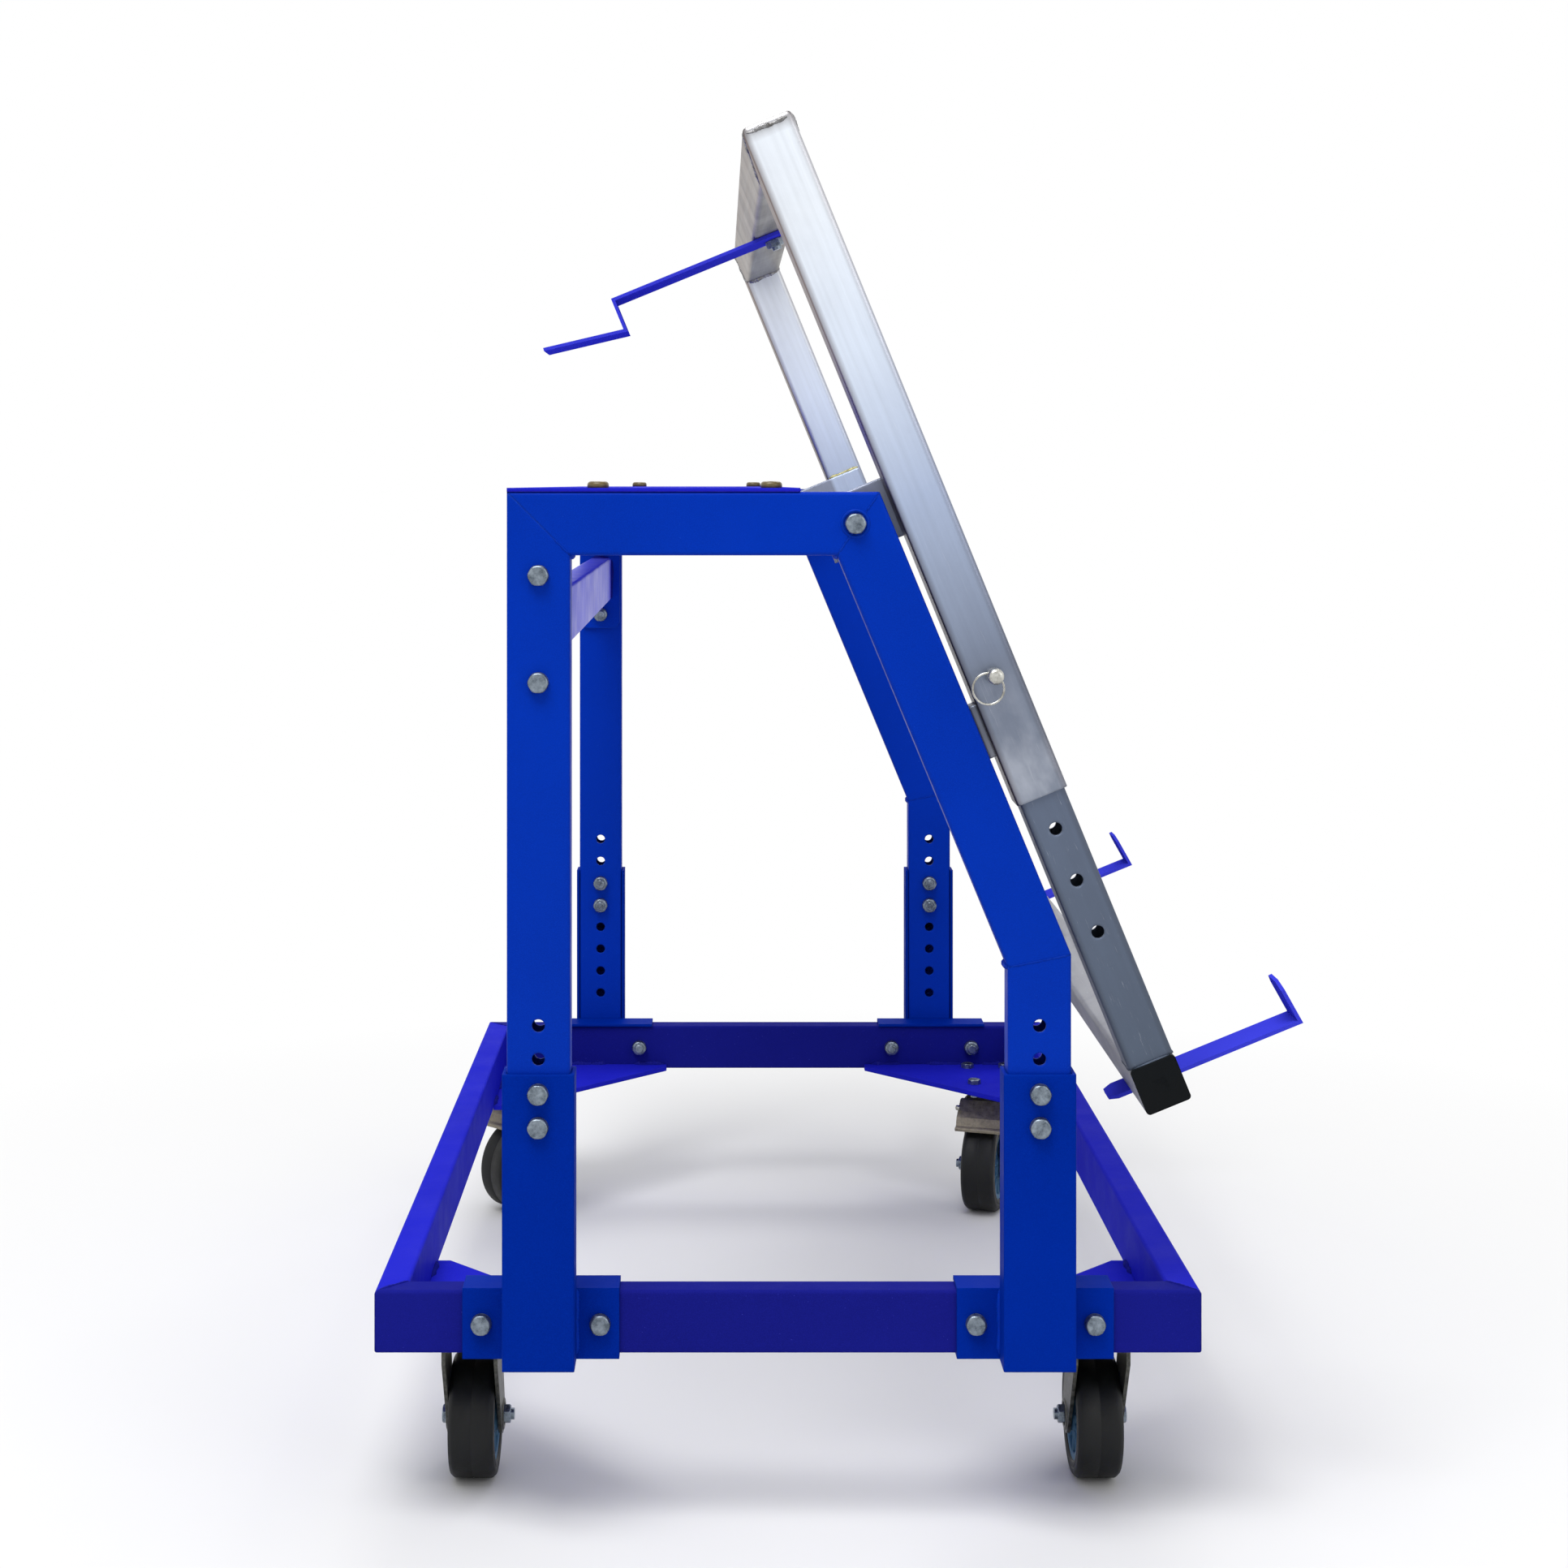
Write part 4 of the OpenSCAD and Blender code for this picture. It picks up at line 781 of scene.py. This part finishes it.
# Bumpers: a soft dome with a screw sunk in its middle. BUMPER_X runs from the post's outside
BUMPER_R, BUMPER_H, DECK_TOP = 0.00875, 0.0053, 844.2
BUMPER_X, BUMPER_Y = (72.4, 211.6), 498.7
DOME = [(BUMPER_R - 0.0004, 0.0), (BUMPER_R, 0.0004), (BUMPER_R - 0.0001, BUMPER_H - 0.0026),
        (BUMPER_R - 0.0005, BUMPER_H - 0.0015), (BUMPER_R - 0.0012, BUMPER_H - 0.0007),
        (BUMPER_R - 0.0022, BUMPER_H - 0.0002), (BUMPER_R - 0.0034, BUMPER_H),
        (0.0044, BUMPER_H), (0.0038, BUMPER_H - 0.0003), (0.0034, BUMPER_H - 0.0009),
        (0.0034, 0.0)]
SCREW = [(0, 0.0001), (0.0033, 0.0001), (0.0033, BUMPER_H - 0.0028),
         (0.0028, BUMPER_H - 0.0021), (0.0016, BUMPER_H - 0.0017), (0, BUMPER_H - 0.0016)]
soft = Mesh()
screw = Mesh()
for end, s in ENDS:
    for x in BUMPER_X:
        m = Matrix.Translation(mm(POST_OUT + x, s * BUMPER_Y, DECK_TOP))
        soft.lathe(DOME, m, 48)
        screw.solid(SCREW, m, 24)
soft.make("bumper_domes", "bumper", "stand", 50.0, ("bumpers",))
screw.make("bumper_screws", "zinc", "stand", 50.0)

# Casters: the swivels' places in millimetres, and how far each caster is turned in degrees
SWIVEL_X, SWIVEL_Y = 264.0, 403.0
TURNS = {("near", "left"): 0.0, ("near", "right"): 0.0,
         ("far", "left"): 180.0 - 43.0, ("far", "right"): 180.0 - 17.0}
TYRE_R, TYRE_HALF, CENTRE_R, TRAIL, AXLE_Z = 0.0508, 0.01925, 0.037, 0.032, 0.0508
# Outlines that are turned round an axis: (radius, height)
RECESS_Z, RIB_TOP, RIB_COUNT = 0.0131, 0.0168, 10
HUB_RING = [(0.0105, RECESS_Z), (0.0105, 0.0188), (0.0112, 0.0192), (0.0128, 0.0192),
            (0.0140, 0.0180), (0.0150, RECESS_Z)]
RIM_RING = [(0.0318, RECESS_Z), (0.0318, 0.0172), (0.0323, 0.0176), (0.0338, 0.0176),
            (0.0338, RECESS_Z)]
DUST_RING = [(0.0250, 0.1274), (0.0262, 0.1274), (0.0268, 0.1282), (0.0268, 0.1322),
             (0.0260, 0.1334), (0.0250, 0.1334)]
FORK_BOSS = [(0.0098, 0.0232), (0.0098, 0.0242), (0.0104, 0.0246), (0.0122, 0.0246),
             (0.0130, 0.0240), (0.0136, 0.0232)]
PEDAL_PIN = [(0, 0.0255), (0.0030, 0.0255), (0.0030, 0.0290), (0.0025, 0.0299),
             (0.0013, 0.0305), (0, 0.0307)]
PIN_PLACE = (0, 0.0515, 0.1205)
# The pedal's rolled edge: half its length, its place, radius, steps and sides
EDGE_HALF, EDGE_Y, EDGE_Z, EDGE_R, EDGE_STEPS, EDGE_SIDES = 0.0277, 0.0672, 0.1000, 0.0021, 8, 12
# The ribs that are pressed in the pedal: places across, both ends, the way up and the height
PRESSED_X, PRESSED_STEPS, PRESSED_H = (-0.012, 0.0, 0.012), 6, 0.0016
PRESSED_FROM, PRESSED_TO, PRESSED_UP = (0.0370, 0.1241), (0.0530, 0.1128), (0, 0.56, 0.83)


def tyre_outline():
    """The tyre's section: flat tread with a moulding line, cut shoulders, ringed side walls."""
    half = [(CENTRE_R, TYRE_HALF - 0.0015), (CENTRE_R + 0.0012, TYRE_HALF - 0.0003),
            (CENTRE_R + 0.0020, TYRE_HALF), (CENTRE_R + 0.0048, TYRE_HALF),
            (CENTRE_R + 0.0053, TYRE_HALF - 0.0006), (CENTRE_R + 0.0060, TYRE_HALF - 0.0006),
            (CENTRE_R + 0.0065, TYRE_HALF), (TYRE_R - 0.0034, TYRE_HALF - 0.0001),
            (TYRE_R - 0.0026, TYRE_HALF - 0.0005), (TYRE_R - 0.0006, TYRE_HALF - 0.0028),
            (TYRE_R - 0.0001, TYRE_HALF - 0.0038), (TYRE_R, TYRE_HALF - 0.0056),
            (TYRE_R, 0.0007), (TYRE_R - 0.0003, 0.0004)]
    return half + [(r, -h) for r, h in reversed(half)]


def wheel_face(axle, face):
    """Z points out of one side of the wheel, from its middle."""
    return axle @ Matrix.Rotation(math.radians(0 if face > 0 else 180), 4, "X")


for end, s in ENDS:
    for side, q in SIDES:
        tag = f"{end}_{side}"
        swivel = (Matrix.Translation(mm(q * SWIVEL_X, s * SWIVEL_Y, 0))
                  @ Matrix.Rotation(math.radians(TURNS[(end, side)]), 4, "Z"))
        axle = (swivel @ Matrix.Translation((0, TRAIL, AXLE_Z))
                @ Matrix.Rotation(math.radians(90), 4, "Y"))
        t = Mesh()
        t.lathe(tyre_outline(), axle, 96)
        t.make(f"tyre_{tag}_moulded", "tyre", f"roller_{tag}", 50.0, (f"tyre_{tag}",))
        # Ribs, a hub ring and a rim ring stand in the recess on both faces of the wheel
        ribs = Mesh()
        for face in (-1, 1):
            m = wheel_face(axle, face)
            for k in range(RIB_COUNT):
                turn = m @ Matrix.Rotation(2 * math.pi * k / RIB_COUNT, 4, "Z")
                ribs.rings([[turn @ Vector(p) for p in (
                    (0.0125, -half, z), (0.0325, -half * 0.8, z), (0.0325, half * 0.8, z),
                    (0.0125, half, z))]
                    for z, half in ((RECESS_Z, 0.0016), (RIB_TOP - 0.0004, 0.0011),
                                    (RIB_TOP, 0.0008))])
            ribs.lathe(HUB_RING, m, 48)
            ribs.lathe(RIM_RING, m, 64)
        ribs.make(f"wheel_{tag}_ribs", "wheel", f"roller_{tag}", 40.0)
        # A dust ring round the swivel's races
        race = Mesh()
        race.lathe(DUST_RING, swivel, 64)
        race.make(f"race_{tag}_ring", "fork", f"caster_{tag}", 40.0)
        # The fork's legs have a raised boss round the axle
        boss = Mesh()
        for face in (-1, 1):
            boss.lathe(FORK_BOSS, wheel_face(axle, face), 48)
        boss.make(f"fork_{tag}_boss", "fork", f"caster_{tag}", 40.0)
        # The pedal's edge is rolled, and three ribs are pressed in its tread
        roll = Mesh()
        edge_points = [Vector((EDGE_HALF * (2 * k / EDGE_STEPS - 1), EDGE_Y, EDGE_Z))
                       for k in range(EDGE_STEPS + 1)]
        roll.rings([[swivel @ (p + Vector((0, EDGE_R * math.cos(2 * math.pi * j / EDGE_SIDES),
                                           EDGE_R * math.sin(2 * math.pi * j / EDGE_SIDES))))
                     for j in range(EDGE_SIDES)] for p in edge_points])
        for x in PRESSED_X:
            a, b, up = Vector((x, *PRESSED_FROM)), Vector((x, *PRESSED_TO)), Vector(PRESSED_UP)
            rings = []
            for k in range(PRESSED_STEPS + 1):
                p = a.lerp(b, k / PRESSED_STEPS)
                h = PRESSED_H * math.sin(math.pi * (0.12 + 0.76 * k / PRESSED_STEPS))
                rings.append([swivel @ (p + Vector((dx, 0, 0)) + up * dz)
                              for dx, dz in ((-0.0026, 0.0), (-0.0014, h), (0.0014, h),
                                             (0.0026, 0.0), (0.0, -0.0008))])
            roll.rings(rings)
        roll.make(f"pedal_{tag}_edge", "pedal", f"brake_{tag}", 40.0)
        # Pins stand out of both ends of the pedal's upper plate
        pins = Mesh()
        for face in (-1, 1):
            pins.solid(PEDAL_PIN, swivel @ Matrix.Translation(PIN_PLACE)
                       @ Matrix.Rotation(math.radians(90 * face), 4, "Y"), 20)
        pins.make(f"pedal_{tag}_pins", "bright", f"brake_{tag}", 40.0)

# The end caps' faces with a moulded rim: each ring's half width, corner radius and place outwards
CAP_RINGS = ((19.0, 3.2, 2.9), (18.9, 3.2, 3.0), (17.6, 2.8, 3.0), (16.8, 2.4, 2.4),
             (15.8, 2.2, 2.3), (14.8, 2.0, 2.9), (6.0, 1.0, 3.0))
CAP_Y = 508.95
CORNERS = ((1, 1, 0), (-1, 1, 90), (-1, -1, 180), (1, -1, 270))
for end, s in ENDS:
    cap = Mesh()
    rings = []
    centre_z = INNER_LOW - INNER_HALF
    for half, r, out in CAP_RINGS:
        ring = []
        for cx, cz, a0 in CORNERS:
            for k in range(4):
                a = math.radians(a0 + 30 * k)
                ring.append(on_rack(RACK_MID + cx * (half - r) + r * math.cos(a),
                                    s * (CAP_Y + out),
                                    centre_z + cz * (half - r) + r * math.sin(a)))
        rings.append(ring)
    cap.rings(rings)
    cap.make(f"end_cap_{end}_rim", "cap", "lower_rack", 30.0)


# ---------------------------------------------------------------- floor, light, camera
def seen_directly(nodes, links):
    """1 for rays that come from the camera, a mirror or through glass, otherwise 0."""
    path = nodes.new("ShaderNodeLightPath")
    first = nodes.new("ShaderNodeMath")
    first.operation = "MAXIMUM"
    links.new(path.outputs["Is Camera Ray"], first.inputs[0])
    links.new(path.outputs["Is Glossy Ray"], first.inputs[1])
    second = nodes.new("ShaderNodeMath")
    second.operation = "MAXIMUM"
    links.new(first.outputs[0], second.inputs[0])
    links.new(path.outputs["Is Transmission Ray"], second.inputs[1])
    return second.outputs[0]


FLOOR_R = 12.0
# The floor turns from its own grey to plain white over a part of this distance, in metres
FADE_SPAN, FADE_FROM, FADE_TO = 4.0, 0.17, 0.36
floor_mesh = bpy.data.meshes.new("floor")
floor_bm = bmesh.new()
bmesh.ops.create_grid(floor_bm, x_segments=8, y_segments=8, size=FLOOR_R)
floor_bm.to_mesh(floor_mesh)
floor_bm.free()
floor = bpy.data.objects.new("floor", floor_mesh)
bpy.context.scene.collection.objects.link(floor)


def pale_ground():
    """Pale floor with the object's shadow near it, running out to plain white.

    FADE_FROM and FADE_TO are shares of FADE_SPAN.
    """
    m = Mat("pale_floor").set(colour=(0.76, 0.76, 0.76), rough=0.95, specular=0.0)
    out = m.t.nodes["Material Output"]
    length = m.t.nodes.new("ShaderNodeVectorMath")
    length.operation = "LENGTH"
    m.link(m.coords(), length.inputs[0])
    out_there = m.ramp(m.math("DIVIDE", length.outputs["Value"], FADE_SPAN),
                       [(FADE_FROM, 0.0), (FADE_TO, 1.0)])
    white = m.t.nodes.new("ShaderNodeEmission")
    white.inputs["Strength"].default_value = 1.0
    mixed = m.t.nodes.new("ShaderNodeMixShader")
    m.link(m.math("MULTIPLY", out_there, seen_directly(m.t.nodes, m.t.links)), mixed.inputs[0])
    m.link(m.b.outputs[0], mixed.inputs[1])
    m.link(white.outputs[0], mixed.inputs[2])
    m.link(mixed.outputs[0], out.inputs["Surface"])
    return m.m


floor.data.materials.append(pale_ground())

# The world's light grows from below the horizon to overhead, and is white where seen directly
WORLD_LOW, WORLD_HIGH = 0.28, 0.75
WORLD_FROM, WORLD_TO = -0.2, 0.9
world = bpy.data.worlds.new("studio")
bpy.context.scene.world = world
world.use_nodes = True
wt = world.node_tree
bg = wt.nodes["Background"]
bg.inputs["Color"].default_value = (1.0, 1.0, 1.0, 1.0)
place = wt.nodes.new("ShaderNodeTexCoord")
split = wt.nodes.new("ShaderNodeSeparateXYZ")
wt.links.new(place.outputs["Generated"], split.inputs[0])
level = wt.nodes.new("ShaderNodeMapRange")
level.inputs["From Min"].default_value = WORLD_FROM
level.inputs["From Max"].default_value = WORLD_TO
level.inputs["To Min"].default_value = WORLD_LOW
level.inputs["To Max"].default_value = WORLD_HIGH
wt.links.new(split.outputs["Z"], level.inputs["Value"])
pick = wt.nodes.new("ShaderNodeMix")
pick.inputs["B"].default_value = 1.0
wt.links.new(seen_directly(wt.nodes, wt.links), pick.inputs["Factor"])
wt.links.new(level.outputs["Result"], pick.inputs["A"])
wt.links.new(pick.outputs["Result"], bg.inputs["Strength"])


def lamp(name, place, target, size, watts):
    """A white rectangular lamp that points at the target."""
    data = bpy.data.lights.new(name, "AREA")
    data.shape = "RECTANGLE"
    data.size, data.size_y = size
    data.energy = watts
    o = bpy.data.objects.new(name, data)
    bpy.context.scene.collection.objects.link(o)
    o.location = place
    d = Vector(target) - Vector(place)
    o.rotation_euler = d.to_track_quat("-Z", "Y").to_euler()


lamp("key", (-0.8, -1.7, 3.7), (0, 0, 0.6), (2.2, 1.8), 105)
lamp("fill", (2.6, -2.6, 1.9), (0, 0, 0.6), (1.8, 1.8), 18)
lamp("back", (0.4, 2.8, 3.4), (0, 0, 0.7), (2.6, 1.4), 45)

# The camera: the photograph's width, the focal length and the shift in its pixels, the sensor
# in millimetres, and the camera's place in metres
PHOTO_PX, FOCAL_PX, SHIFT_PX = 1932.0, 2930.0, (80.0, -370.0)
SENSOR_MM = 36.0
CAMERA_PLACE = (-0.0558 - MID_X, -2.4086, 0.8475)
cam_data = bpy.data.cameras.new("camera")
cam = bpy.data.objects.new("camera", cam_data)
bpy.context.scene.collection.objects.link(cam)
cam_data.sensor_width = SENSOR_MM
cam_data.lens = FOCAL_PX / PHOTO_PX * SENSOR_MM
cam_data.shift_x = SHIFT_PX[0] / PHOTO_PX
cam_data.shift_y = SHIFT_PX[1] / PHOTO_PX
cam_data.clip_end = 60.0
cam.matrix_world = (Matrix.Translation(CAMERA_PLACE)
                    @ Matrix.Rotation(math.radians(90), 4, "X"))
bpy.context.scene.camera = cam

bpy.context.scene.view_settings.view_transform = "Standard"
